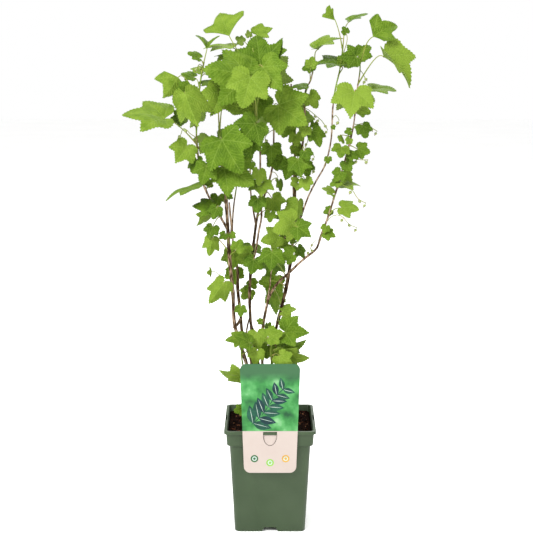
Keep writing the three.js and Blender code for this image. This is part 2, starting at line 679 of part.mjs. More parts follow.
function rimSlot() {
  const { half, near, far } = RIM_SLOT;
  return box(-half, half, -far, -near, POT_LIP_FOOT - 1, POT_HEIGHT + 1);
}

function footNotch() {
  const { wide, narrow, tall, deep } = FOOT_NOTCH;
  const profile = new THREE.Shape([
    new THREE.Vector2(-wide / 2, -1),
    new THREE.Vector2(wide / 2, -1),
    new THREE.Vector2(narrow / 2, tall),
    new THREE.Vector2(-narrow / 2, tall),
  ]);
  const geometry = new THREE.ExtrudeGeometry(profile, { depth: deep + 5, bevelEnabled: false });
  geometry.rotateX(Math.PI / 2).translate(0, -POT_FOOT_HALF + deep, 0);
  return solidOf(geometry);
}

// The compost: fills the pot's inside, with a lumpy top and a plain hole for each stem
function compost() {
  const rings = insideOfPot(COMPOST_GAP);
  COMPOST_RINGS.forEach((share, step) => {
    const half = (POT_BAND_HALF - POT_WALL - COMPOST_GAP) * share;
    const ring = squareRing(half, Math.min(POT_INNER_CORNER, 0.4 * half), COMPOST_HEIGHT);
    ring.forEach((point) => {
      const wave = Math.sin(LUMP.perX * point.x + LUMP.shiftX) * Math.cos(LUMP.perY * point.y + LUMP.shiftY);
      point.z += step === 0 ? -COMPOST_EDGE_DROP : LUMP.height * wave + COMPOST_RISE * step;
    });
    rings.push(ring);
  });
  let made = loft(rings);
  for (const cane of Object.values(CANES)) {
    const line = caneLine(cane);
    if (line.points[0].z > STEM_FOOT_HEIGHT) continue;
    const foot = line.points.slice(0, 3);
    foot[0].z -= STEM_GAP;
    const radii = line.radii.slice(0, 3).map((radius) => radius + STEM_GAP);
    made = made.subtract(rod(foot, radii, CANE_SIDES));
  }
  return made;
}

// A flat plate in the X-Z plane, from y = -front back by its thickness
function plate(shape, front, thick) {
  const geometry = new THREE.ExtrudeGeometry(shape, { depth: thick, bevelEnabled: false, curveSegments: 4 });
  return geometry.rotateX(Math.PI / 2).translate(0, thick - front, 0);
}

// The label: a card with a window, and a tongue that goes over the rim's strip and down its slot
function label() {
  const { bottom, top, bottomHalf, topHalf, thick, front } = CARD;
  const { bottom: low, top: high } = CARD_CORNER;
  const card = new THREE.Shape();
  card.moveTo(-bottomHalf + low, bottom);
  card.lineTo(bottomHalf - low, bottom);
  card.quadraticCurveTo(bottomHalf, bottom, bottomHalf, bottom + low);
  card.lineTo(topHalf, top - high);
  card.quadraticCurveTo(topHalf, top, topHalf - high, top);
  card.lineTo(-topHalf + high, top);
  card.quadraticCurveTo(-topHalf, top, -topHalf, top - high);
  card.lineTo(-bottomHalf, bottom + low);
  card.quadraticCurveTo(-bottomHalf, bottom, -bottomHalf + low, bottom);
  card.holes.push(tongue(CUT_GAP, TAB.under));
  const bend = box(-TAB.half, TAB.half, -front, thick - TAB.front, TAB.under, TAB.under + thick);
  const hook = box(-TAB.half, TAB.half, -TAB.front, thick - TAB.front, POT_LIP_FOOT, TAB.under + thick / 2);
  const lean = new THREE.Matrix4().makeShear(0, 0, 0, 0, 0, TAB.lean);
  const end = plate(tongue(0, POT_LIP_FOOT), TAB.front, thick).translate(0, 0, -POT_LIP_FOOT);
  end.applyMatrix4(lean).translate(0, 0, POT_LIP_FOOT);
  return wasm.Manifold.union([solidOf(plate(card, front, thick)), solidOf(end), hook, bend]);
}

// The tongue's outline below a height, or with a gap that of the window that it was cut from
function tongue(gap, top) {
  const half = TAB.half + gap;
  const shape = new THREE.Shape();
  shape.moveTo(-half, top);
  shape.lineTo(-half, TAB.bottom + TAB.round);
  shape.absellipse(0, TAB.bottom + TAB.round, half, TAB.round + gap, Math.PI, 2 * Math.PI, false, 0);
  shape.lineTo(half, top);
  shape.closePath();
  return shape;
}

const root = new THREE.Group();

function addMesh(name, solid, roughness) {
  const material = new THREE.MeshStandardMaterial({ color: COLOURS[name], roughness, metalness: 0 });
  const mesh = new THREE.Mesh(geometryOf(solid), material);
  mesh.name = name;
  root.add(mesh);
}

addMesh("pot", pot(), 0.45);
addMesh("compost", compost(), 0.95);
addMesh("label", label(), 0.4);
for (const name of new Set(Object.values(CANES).map((cane) => cane.node))) {
  addMesh(name, leafyNode(name), 0.6);
}

export default root;
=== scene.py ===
# A young blackcurrant bush in a square nursery pot, with a plant label hooked on the front rim.
# The lists of canes, leaves and sprays are in millimetres, and every mesh is in metres.
import math
import random

import bpy
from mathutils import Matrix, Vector


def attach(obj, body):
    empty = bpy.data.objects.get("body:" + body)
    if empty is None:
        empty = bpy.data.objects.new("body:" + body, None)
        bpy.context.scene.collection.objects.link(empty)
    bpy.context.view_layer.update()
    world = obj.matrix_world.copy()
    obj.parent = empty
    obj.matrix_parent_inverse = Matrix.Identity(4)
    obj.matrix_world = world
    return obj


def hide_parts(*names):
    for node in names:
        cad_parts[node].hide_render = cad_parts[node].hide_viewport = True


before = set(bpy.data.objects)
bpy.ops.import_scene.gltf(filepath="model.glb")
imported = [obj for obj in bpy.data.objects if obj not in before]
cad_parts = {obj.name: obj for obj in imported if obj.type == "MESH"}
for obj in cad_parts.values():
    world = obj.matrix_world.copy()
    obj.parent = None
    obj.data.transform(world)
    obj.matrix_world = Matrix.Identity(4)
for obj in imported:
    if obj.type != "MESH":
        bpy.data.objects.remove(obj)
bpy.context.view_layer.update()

# The viewpoint, floor and light: a pale studio floor under soft light from above the front left,
# seen from a little above the top of the pot, as a plant is stood up for its picture.
MM = 0.001
EYE = Vector((-5, -1656, 695))
LOOK_DOWN = math.radians(10.8)
SENSOR = 36
PHOTO_WIDTH = 533
FOCAL_PIXELS = 1185

camera = bpy.data.objects.new("viewpoint", bpy.data.cameras.new("viewpoint"))
camera.data.sensor_width = SENSOR
camera.data.lens = SENSOR * FOCAL_PIXELS / PHOTO_WIDTH
camera.location = EYE * MM
camera.rotation_euler = (math.pi / 2 - LOOK_DOWN, 0, 0)
bpy.context.scene.collection.objects.link(camera)
bpy.context.scene.camera = camera
bpy.context.scene.view_settings.view_transform = "Standard"


def fill_inputs(tree, node, inputs):
    """Links each input of a shader node to a socket, or sets it to a value."""
    for key, value in inputs.items():
        if isinstance(value, bpy.types.NodeSocket):
            tree.links.new(value, node.inputs[key])
        else:
            node.inputs[key].default_value = value


def add_node(tree, kind, inputs, **settings):
    """A shader node with its inputs and its settings."""
    made = tree.nodes.new(kind)
    for key, value in settings.items():
        setattr(made, key, value)
    fill_inputs(tree, made, inputs)
    return made


def blank_finish(name):
    """A new material with its tree, its surface shader and coordinates in metres."""
    material = bpy.data.materials.new(name)
    material.use_nodes = True
    tree = material.node_tree
    where = add_node(tree, "ShaderNodeTexCoord", {}).outputs["Object"]
    return material, tree, tree.nodes["Principled BSDF"], where


def colour_steps(tree, amount, steps):
    """Colours blended along an amount from 0 to 1, with each step as (place, red, green, blue)."""
    ramp = add_node(tree, "ShaderNodeValToRGB", {"Fac": amount})
    elements = ramp.color_ramp.elements
    while len(elements) < len(steps):
        elements.new(0.5)
    for element, (place, *colour) in zip(elements, steps):
        element.position = place
        element.color = (*colour, 1)
    return ramp.outputs["Color"]


def noise(tree, where, scale, detail=2.0, roughness=0.5):
    """Uneven clouds from 0 to 1, by their scale and detail."""
    return add_node(tree, "ShaderNodeTexNoise", {
        "Vector": where, "Scale": scale, "Detail": detail, "Roughness": roughness}).outputs["Fac"]


LIGHT_AIM = Vector((0, 0, 0.4))


def light_panel(name, place, size, watts):
    """A square soft light that faces the middle of the plant."""
    lamp = bpy.data.lights.new(name, "AREA")
    lamp.size = size
    lamp.energy = watts
    holder = bpy.data.objects.new(name, lamp)
    holder.location = place
    holder.rotation_euler = (LIGHT_AIM - holder.location).to_track_quat("-Z", "Y").to_euler()
    bpy.context.scene.collection.objects.link(holder)


light_panel("key_light", Vector((-1.3, -1.9, 2.3)), 1.0, 105)
light_panel("fill_light", Vector((1.9, -1.6, 1.5)), 1.8, 16)
light_panel("back_light", Vector((0.6, 1.9, 2.2)), 1.5, 45)

surroundings = bpy.data.worlds.new("surroundings")
surroundings.use_nodes = True
fill_inputs(surroundings.node_tree, surroundings.node_tree.nodes["Background"],
            {"Color": (1, 1, 1, 1), "Strength": 1.0})
bpy.context.scene.world = surroundings

FLOOR_HALF = 9
floor_mesh = bpy.data.meshes.new("floor")
floor_mesh.from_pydata(
    [(-FLOOR_HALF, -FLOOR_HALF, 0), (FLOOR_HALF, -FLOOR_HALF, 0), (FLOOR_HALF, FLOOR_HALF, 0),
     (-FLOOR_HALF, FLOOR_HALF, 0)], [], [(0, 1, 2, 3)])
floor = bpy.data.objects.new("floor", floor_mesh)
bpy.context.scene.collection.objects.link(floor)
floor_finish, floor_tree, floor_shader, floor_where = blank_finish("floor")
floor_cloud = noise(floor_tree, floor_where, 3.0)
floor_shade = colour_steps(
    floor_tree, floor_cloud, [(0.3, 0.965, 0.965, 0.96), (0.7, 0.985, 0.985, 0.98)])
fill_inputs(floor_tree, floor_shader, {"Base Color": floor_shade, "Roughness": 0.8})
floor_mesh.materials.append(floor_finish)

# The pot: one thin moulded shell of matt green plastic, square with round corners and drawn in
# towards its foot. A deep band and an outward lip stiffen its mouth, with a label slot in each
# side of the lip and a drain notch in each foot edge.
BODY = "root"
POT_HEIGHT = 155
POT_FOOT_HALF = 50.5
POT_NECK_HALF = 57.3
POT_NECK_HEIGHT = 131
POT_BAND_HALF = 61.2
POT_BAND_TOP_HALF = 62.1
POT_LIP_HALF = 65
POT_LIP_FOOT = 149.8
POT_WALL = 1.8
POT_MOUTH_HALF = 60.9
POT_FLOOR = 8
POT_CORNER = 7
POT_INNER_CORNER = 5.5
CORNER_STEPS = 8
FOOT_NOTCH = {"wide": 24.5, "narrow": 16, "tall": 6.7, "deep": 17, "before": 5}
RIM_SLOT = {"half": 11, "near": 62.2, "far": 63.9, "web": 0.6}
CUT_PAST = 1
SHARP_TURN = math.radians(38)


def square_ring(half, corner, z, steps=CORNER_STEPS):
    """The points of a square with round corners at one height."""
    ring = []
    for quarter in range(4):
        middle = (quarter + 0.5) * math.pi / 2
        reach = (half - corner) * math.sqrt(2)
        for k in range(steps):
            turn = (quarter + k / (steps - 1)) * math.pi / 2
            ring.append(Vector((reach * math.cos(middle) + corner * math.cos(turn),
                                reach * math.sin(middle) + corner * math.sin(turn), z)))
    return ring


def skin(rings, close_start=True, close_end=True):
    """Points and faces of a skin over rings that hold the same number of points."""
    count = len(rings[0])
    faces = []
    for ring in range(len(rings) - 1):
        for i in range(count):
            a = ring * count + i
            b = ring * count + (i + 1) % count
            faces.append((a, b, b + count, a + count))
    if close_start:
        faces.append(tuple(reversed(range(count))))
    if close_end:
        faces.append(tuple(range((len(rings) - 1) * count, len(rings) * count)))
    return [point for ring in rings for point in ring], faces


def mesh_piece(name, points, faces, finishes, shape_marks=None, face_finish=None, sharp=None):
    """An object from points in millimetres, smooth but for its sharp faces, marked for its finish."""
    mesh = bpy.data.meshes.new(name)
    mesh.from_pydata([Vector(point) * MM for point in points], [], faces)
    for finish in finishes:
        mesh.materials.append(finish)
    if shape_marks:
        mark = mesh.attributes.new("mark", "FLOAT_VECTOR", "POINT")
        mark.data.foreach_set("vector", [value for each in shape_marks for value in each])
    if face_finish:
        mesh.polygons.foreach_set("material_index", face_finish)
    smooth = [True] * len(faces) if sharp is None else [not edge for edge in sharp]
    mesh.polygons.foreach_set("use_smooth", smooth)
    mesh.update()
    piece = bpy.data.objects.new(name, mesh)
    bpy.context.scene.collection.objects.link(piece)
    return piece


def cut_away(piece, cutters):
    """Cuts each cutter out of a piece and removes the cutters."""
    for cutter in cutters:
        cut = piece.modifiers.new("cut", "BOOLEAN")
        cut.operation = "DIFFERENCE"
        cut.solver = "EXACT"
        cut.object = cutter
    shown = bpy.context.evaluated_depsgraph_get()
    finished = bpy.data.meshes.new_from_object(piece.evaluated_get(shown))
    piece.modifiers.clear()
    piece.data = finished
    for cutter in cutters:
        bpy.data.objects.remove(cutter)


def settle(piece, node):
    """Puts a piece on the body in the place of a node, and hides that node."""
    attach(piece, BODY)
    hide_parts(node)
    return piece


def ranged(tree, value, low=0.0, high=1.0, start=0.0, end=1.0):
    """A value drawn out from low at its start to high at its end."""
    return add_node(tree, "ShaderNodeMapRange", {
        "Value": value, "From Min": start, "From Max": end,
        "To Min": low, "To Max": high}).outputs["Result"]


def grain_relief(tree, shader, height, strength, depth):
    """Raises and sinks a finish by a height that varies over it, with the depth in metres."""
    bump = add_node(tree, "ShaderNodeBump", {"Height": height, "Strength": strength, "Distance": depth})
    fill_inputs(tree, shader, {"Normal": bump.outputs["Normal"]})


def moulded_plastic(name, dark, light, roughness):
    """Matt plastic with faint flow marks, fine grain, dust in patches and scuffs."""
    material, tree, shader, where = blank_finish(name)
    flow = noise(tree, where, 22.0, 5.0)
    colour = colour_steps(tree, flow, [(0.3, *dark), (0.72, *light)])
    scuff = noise(tree, where, 90.0, 6.0)
    rough = ranged(tree, scuff, roughness - 0.08, roughness + 0.12)
    fill_inputs(tree, shader, {"Base Color": colour, "Roughness": rough, "Specular IOR Level": 0.36})
    grain = noise(tree, where, 900.0, 3.0)
    grain_relief(tree, shader, grain, 0.25, 0.0003)
    return material


BOX_FACES = [(3, 2, 1, 0), (4, 5, 6, 7), (0, 1, 5, 4), (1, 2, 6, 5), (2, 3, 7, 6), (3, 0, 4, 7)]


def box_cutter(low, high, taper=0, quarter=0):
    """A box between two corners, narrower by the taper at its top, turned by quarters."""
    corners = []
    for z, inset in ((low[2], 0), (high[2], taper)):
        corners += [(low[0] + inset, low[1], z), (high[0] - inset, low[1], z),
                    (high[0] - inset, high[1], z), (low[0] + inset, high[1], z)]
    cutter = mesh_piece("cutter", corners, BOX_FACES, [])
    cutter.rotation_euler = (0, 0, quarter * math.pi / 2)
    return cutter


pot_green = moulded_plastic("pot_green", (0.024, 0.045, 0.016), (0.037, 0.062, 0.026), 0.5)
pot_outside = [(POT_FOOT_HALF - 1.4, 0), (POT_FOOT_HALF - 0.5, 0.3), (POT_FOOT_HALF, 1.4),
               (POT_NECK_HALF, POT_NECK_HEIGHT - 0.8), (POT_NECK_HALF + 0.5, POT_NECK_HEIGHT),
               (POT_BAND_HALF - 1.2, POT_NECK_HEIGHT + 0.8), (POT_BAND_HALF - 0.4, POT_NECK_HEIGHT + 1.5),
               (POT_BAND_HALF, POT_NECK_HEIGHT + 3), (POT_BAND_TOP_HALF, POT_LIP_FOOT - 0.5),
               (POT_BAND_TOP_HALF + 0.4, POT_LIP_FOOT), (POT_LIP_HALF - 0.8, POT_LIP_FOOT + 0.3),
               (POT_LIP_HALF - 0.1, POT_LIP_FOOT + 0.7), (POT_LIP_HALF, POT_LIP_FOOT + 1.2),
               (POT_LIP_HALF, POT_HEIGHT - 1.1), (POT_LIP_HALF - 0.3, POT_HEIGHT - 0.3),
               (POT_LIP_HALF - 1.1, POT_HEIGHT)]
pot_inside = [(POT_MOUTH_HALF + 0.4, POT_HEIGHT), (POT_MOUTH_HALF - 0.1, POT_HEIGHT - 0.7),
              (POT_BAND_HALF - POT_WALL, POT_NECK_HEIGHT + 3),
              (POT_NECK_HALF - POT_WALL, POT_NECK_HEIGHT - 1),
              (POT_FOOT_HALF - POT_WALL, POT_FLOOR + 1), (POT_FOOT_HALF - POT_WALL - 1, POT_FLOOR)]
pot_rings = [square_ring(half, POT_CORNER, z) for half, z in pot_outside]
pot_rings += [square_ring(half, POT_INNER_CORNER, z) for half, z in pot_inside]
pot = mesh_piece("pot_shell", *skin(pot_rings), [pot_green])
pot_cutters = []
for quarter in range(4):
    slot_foot = POT_LIP_FOOT - CUT_PAST if quarter == 0 else POT_LIP_FOOT + RIM_SLOT["web"]
    pot_cutters.append(box_cutter(
        (-RIM_SLOT["half"], -RIM_SLOT["far"], slot_foot),
        (RIM_SLOT["half"], -RIM_SLOT["near"], POT_HEIGHT + CUT_PAST), quarter=quarter))
    pot_cutters.append(box_cutter(
        (-FOOT_NOTCH["wide"] / 2, -POT_FOOT_HALF - FOOT_NOTCH["before"], -CUT_PAST),
        (FOOT_NOTCH["wide"] / 2, -POT_FOOT_HALF + FOOT_NOTCH["deep"], FOOT_NOTCH["tall"]),
        taper=(FOOT_NOTCH["wide"] - FOOT_NOTCH["narrow"]) / 2, quarter=quarter))
cut_away(pot, pot_cutters)
pot.data.shade_smooth()
pot.data.set_sharp_from_angle(angle=SHARP_TURN)
settle(pot, "pot")

# The compost: dark moist peat and composted bark that fills the pot to below its lip. It is lumpy,
# and loose bark chips and paler grains lie on it round the stems.
COMPOST_HEIGHT = 148
COMPOST_HALF = 59
COMPOST_GAP = 0.4
COMPOST_LUMP = 1.8
COMPOST_CRUMB = 0.5
COMPOST_RISE = 2.4
COMPOST_SUNK = 0.6
COMPOST_ROUND = 0.4
COMPOST_EDGE = -0.8
COMPOST_GRAINS = (-0.5, 0.5)
COMPOST_SHIFTS = (-0.3, 0.3)
COMPOST_RINGS = 34
COMPOST_CORNER_STEPS = 12
BARK_CHIPS = 620
CHIP = {"margin": 5, "lengths": (1.2, 8, 2), "widths": (0.3, 0.7), "thicks": (0.5, 1.6),
        "tips": (-0.5, 0.5), "corners": (0.65, 1), "fade": 1.4, "lift": 0.2}
compost_random = random.Random(11)


def compost_top(x, y):
    """The height of the compost's surface at a place."""
    lump = math.sin(0.23 * x + 1.1) * math.cos(0.19 * y - 0.4)
    crumb = math.sin(0.9 * x + 0.6 * y) * math.cos(0.8 * y - 0.5 * x)
    middle = 1 - max(abs(x), abs(y)) / COMPOST_HALF
    return (COMPOST_HEIGHT + COMPOST_LUMP * lump + COMPOST_CRUMB * crumb
            + COMPOST_RISE * middle - COMPOST_SUNK)


compost_sides = [(POT_FOOT_HALF - POT_WALL - COMPOST_GAP, POT_FLOOR + COMPOST_GAP),
                 (POT_NECK_HALF - POT_WALL - COMPOST_GAP, POT_NECK_HEIGHT - 1)]
compost_rings = [square_ring(half, POT_INNER_CORNER, z, COMPOST_CORNER_STEPS)
                 for half, z in compost_sides]
for step in range(COMPOST_RINGS):
    share = 1 - step / COMPOST_RINGS
    half = COMPOST_HALF * share
    ring = square_ring(half, min(POT_INNER_CORNER, COMPOST_ROUND * half), 0, COMPOST_CORNER_STEPS)
    for point in ring:
        crumb = compost_random.uniform(*COMPOST_GRAINS) if 0 < step else COMPOST_EDGE
        point.x += compost_random.uniform(*COMPOST_SHIFTS) if 0 < step else 0
        point.z = compost_top(point.x, point.y) + crumb
    compost_rings.append(ring)

compost_dark, compost_tree, compost_shader, compost_where = blank_finish("compost_dark")
compost_grain = noise(compost_tree, compost_where, 420.0, 8.0, 0.7)
compost_colour = colour_steps(compost_tree, compost_grain, [
    (0.34, 0.001, 0.0006, 0.0004), (0.54, 0.006, 0.0022, 0.001), (0.64, 0.04, 0.009, 0.003),
    (0.8, 0.1, 0.03, 0.01)])
fill_inputs(compost_tree, compost_shader, {
    "Base Color": compost_colour, "Roughness": 0.95, "Specular IOR Level": 0.02})
grain_relief(compost_tree, compost_shader, compost_grain, 1.0, 0.002)
settle(mesh_piece("compost_bed", *skin(compost_rings), [compost_dark]), "compost")


def mixed_colour(tree, share, first, second):
    """Two colours mixed by a share of the second."""
    return add_node(tree, "ShaderNodeMix", {"Factor": share, "A": first, "B": second},
                    data_type="RGBA").outputs["Result"]


def mark_parts(tree):
    """The three parts of the mark that a mesh carries, called X, Y and Z."""
    mark = add_node(tree, "ShaderNodeAttribute", {}, attribute_name="mark")
    return add_node(tree, "ShaderNodeSeparateXYZ", {"Vector": mark.outputs["Vector"]}).outputs


bark_chip, chip_tree, chip_shader, chip_where = blank_finish("bark_chip")
chip_colour = colour_steps(chip_tree, mark_parts(chip_tree)["X"], [
    (0.0, 0.002, 0.001, 0.0006), (0.5, 0.014, 0.004, 0.002), (0.8, 0.09, 0.02, 0.008),
    (0.97, 0.26, 0.12, 0.06)])
chip_grain = noise(chip_tree, chip_where, 700.0, 5.0)
chip_mix = mixed_colour(chip_tree, chip_grain, chip_colour, (0.003, 0.0016, 0.001, 1))
fill_inputs(chip_tree, chip_shader, {
    "Base Color": chip_mix, "Roughness": 0.85, "Specular IOR Level": 0.03})
grain_relief(chip_tree, chip_shader, chip_grain, 0.8, 0.0008)

chip_points, chip_faces, chip_marks = [], [], []
chip_reach = COMPOST_HALF - CHIP["margin"]
for _ in range(BARK_CHIPS):
    x = compost_random.uniform(-chip_reach, chip_reach)
    y = compost_random.uniform(-chip_reach, chip_reach)
    length = compost_random.triangular(*CHIP["lengths"])
    width = length * compost_random.uniform(*CHIP["widths"])
    thick = compost_random.uniform(*CHIP["thicks"])
    turn = compost_random.uniform(0, math.pi)
    tip = compost_random.uniform(*CHIP["tips"])
    shade = compost_random.random() ** CHIP["fade"]
    start = len(chip_points)
    for w in (-1, 1):
        for u, v in ((-1, -1), (1, -1), (1, 1), (-1, 1)):
            jitter = compost_random.uniform(*CHIP["corners"])
            along = u * length / 2 * jitter
            aside = v * width / 2 * jitter
            chip_points.append((x + along * math.cos(turn) - aside * math.sin(turn),
                                y + along * math.sin(turn) + aside * math.cos(turn),
                                compost_top(x, y) + w * thick / 2 + along * tip + CHIP["lift"]))
            chip_marks.append((shade, 0, 0))
    chip_faces += [tuple(start + corner for corner in face) for face in BOX_FACES]
settle(mesh_piece("bark_chips", chip_points, chip_faces, [bark_chip], chip_marks,
                  sharp=[True] * len(chip_faces)), "compost")

# The label: a tapered card of thin printed plastic. Its tongue is cut out of the card, goes over
# the strip of the rim in front of the slot and down the slot, and so hangs the card on the pot.
CARD = {"bottom": 95, "top": 254, "bottom_half": 37, "top_half": 41.8, "thick": 0.7, "front": 66.1}
CARD_CORNER = {"bottom": 9.4, "top": 8.6}
TAB = {"half": 9.4, "bottom": 135.2, "round": 14.5, "under": 155.4, "front": 63.3, "lean": 0.125,
       "least": 0.3}
TAB_BEND = [(-1.4, 0), (-0.5, -0.1), (-0.1, -0.5), (0, -1.3)]
CUT_GAP = 0.4
ARC_STEPS = 12
HEAD_FADE = (0.226, 0.241)
CREAM_EDGE = (0.1563, 0.1568)


def arc(x, z, across, up, first, last, steps=ARC_STEPS):
    """Points of a round or oval arc in the plane of the card, between two turns in degrees."""
    turns = [math.radians(first + (last - first) * k / steps) for k in range(steps + 1)]
    return [(x + across * math.cos(turn), z + up * math.sin(turn)) for turn in turns]


def plate_piece(name, outline, holes, front, thick, finishes):
    """A flat plate from its outline and holes, with its front face at a depth before the middle."""
    curve = bpy.data.curves.new(name, "CURVE")
    curve.dimensions = "2D"
    curve.fill_mode = "BOTH"
    curve.extrude = thick * MM / 2
    for loop in (outline, *holes):
        spline = curve.splines.new("POLY")
        spline.points.add(len(loop) - 1)
        spline.use_cyclic_u = True
        for point, (x, z) in zip(spline.points, loop):
            point.co = (x * MM, z * MM, 0, 1)
    holder = bpy.data.objects.new(name, curve)
    bpy.context.scene.collection.objects.link(holder)
    shown = bpy.context.evaluated_depsgraph_get()
    mesh = bpy.data.meshes.new_from_object(holder.evaluated_get(shown))
    bpy.data.objects.remove(holder)
    mesh.materials.clear()
    for finish in finishes:
        mesh.materials.append(finish)
    for vertex in mesh.vertices:
        x, z, y = vertex.co
        vertex.co = (x, -front * MM + thick * MM / 2 - y, z)
    mesh.update()
    piece = bpy.data.objects.new(name, mesh)
    bpy.context.scene.collection.objects.link(piece)
    return piece


def card_outline():
    """The card's outline, with its four round corners."""
    points = []
    for side, level, first in ((1, "bottom", -90), (1, "top", 0), (-1, "top", 90), (-1, "bottom", 180)):
        corner = CARD_CORNER[level]
        x = side * (CARD[level + "_half"] - corner)
        z = CARD[level] + (corner if level == "bottom" else -corner)
        points += arc(x, z, corner, corner, first, first + 90)
    return points


def window_outline():
    """The outline of the window that the tongue was cut from."""
    half = TAB["half"] + CUT_GAP
    oval = arc(0, TAB["bottom"] + TAB["round"], half, TAB["round"] + CUT_GAP, 180, 360, 2 * ARC_STEPS)
    return [(half, TAB["under"]), (-half, TAB["under"])] + oval


def tongue_piece(name, finish):
    """The tongue: from the window's top over the rim, down the slot, and out again below the lip."""
    thick = CARD["thick"]
    middle = thick / 2 - TAB["front"]
    top = TAB["under"] + thick / 2
    bend = [(thick / 2 - CARD["front"], top)]
    bend += [(middle + y, top + z) for y, z in TAB_BEND]
    bend += [(middle, POT_LIP_FOOT)]
    path = [(y, z, TAB["half"]) for y, z in bend]
    for k in range(1, ARC_STEPS + 1):
        turn = math.pi / 2 * k / ARC_STEPS
        down = TAB["round"] * math.sin(turn)
        z = TAB["bottom"] + TAB["round"] - down
        half = max(TAB["least"], TAB["half"] * math.cos(turn))
        path.append((middle - TAB["lean"] * (POT_LIP_FOOT - z), z, half))
    rings = []
    for k, (y, z, half) in enumerate(path):
        ahead, behind = path[min(k + 1, len(path) - 1)], path[max(k - 1, 0)]
        way = Vector((0, ahead[0] - behind[0], ahead[1] - behind[1])).normalized()
        out = Vector((0, -way.z, way.y)) * thick / 2
        rings.append([Vector((side * half, y, z)) + out * face
                      for side, face in ((1, -1), (-1, -1), (-1, 1), (1, 1))])
    points, faces = skin(rings)
    return mesh_piece(name, points, faces, [finish], sharp=[True] * len(faces))


def satin_print(tree, shader, where, roughness=0.4):
    """The fine uneven gloss of ink on a plastic card."""
    fibre = noise(tree, where, 600.0, 4.0)
    rough = ranged(tree, fibre, roughness - 0.1, roughness + 0.1)
    fill_inputs(tree, shader, {"Roughness": rough, "Specular IOR Level": 0.25})
    grain_relief(tree, shader, fibre, 0.15, 0.0001)


def printed_card(name):
    """A green panel with soft light clouds under a darker head, and bare warm cream below."""
    material, tree, shader, where = blank_finish(name)
    height = add_node(tree, "ShaderNodeSeparateXYZ", {"Vector": where}).outputs["Z"]
    cloud = noise(tree, where, 42.0, 3.0)
    panel = colour_steps(tree, cloud, [
        (0.32, 0.008, 0.06, 0.02), (0.48, 0.03, 0.18, 0.04), (0.6, 0.07, 0.27, 0.08),
        (0.72, 0.2, 0.4, 0.2)])
    head = ranged(tree, height, 0.0, 1.0, *HEAD_FADE)
    topped = mixed_colour(tree, head, panel, (0.032, 0.1, 0.04, 1))
    edge = ranged(tree, height, 0.0, 1.0, *CREAM_EDGE)
    cream = mixed_colour(tree, cloud, (0.385, 0.32, 0.285, 1), (0.42, 0.36, 0.325, 1))
    printed = mixed_colour(tree, edge, cream, topped)
    fill_inputs(tree, shader, {"Base Color": printed})
    satin_print(tree, shader, where)
    return material


def print_ink(name, dark, light):
    """One ink of the card's pattern, a little cloudy."""
    material, tree, shader, where = blank_finish(name)
    cloud = noise(tree, where, 160.0, 3.0)
    colour = colour_steps(tree, cloud, [(0.35, *dark), (0.68, *light)])
    fill_inputs(tree, shader, {"Base Color": colour})
    satin_print(tree, shader, where)
    return material


INK_LIFT = 0.03
INK_STEP = 0.0004
SPRIG_STEM = [(-27, 165), (-13, 178), (-2, 193), (8, 208), (23, 222)]
SPRIG_LEAVES = 7
SPRIG_START = 0.4
SPRIG_OVERLAP = 1.1
SPRIG_HALF = 0.6
LEAF_BELLY = 0.85
SPRIG_LEAF = {"length": 27, "least": 16, "half": 6.4, "turn": 58, "rib": 0.86, "rib_half": 0.35}
TEAL, GREEN, PALE, LEAF, LIME, AMBER = range(6)
DISCS = [(-22, 116, 5.4, LEAF), (0, 110, 5.4, LIME), (22, 116, 5.4, AMBER)]
DISC_RING = 0.62
DISC_EYE = 0.34
DISC_TURNS = (0, 345, 23)


def flat_leaf(x, z, length, half, bearing, steps=10):
    """The outline of a pointed leaf lying on the card from its foot at (x, z)."""
    way = Vector((math.cos(math.radians(bearing)), math.sin(math.radians(bearing))))
    side = Vector((-way.y, way.x))
    outline = []
    for k in range(2 * steps):
        share = k / steps if k < steps else 2 - k / steps
        aside = half * math.sin(math.pi * share ** LEAF_BELLY) * (-1 if k < steps else 1)
        point = Vector((x, z)) + way * length * share + side * aside
        outline.append((point.x, point.y))
    return outline


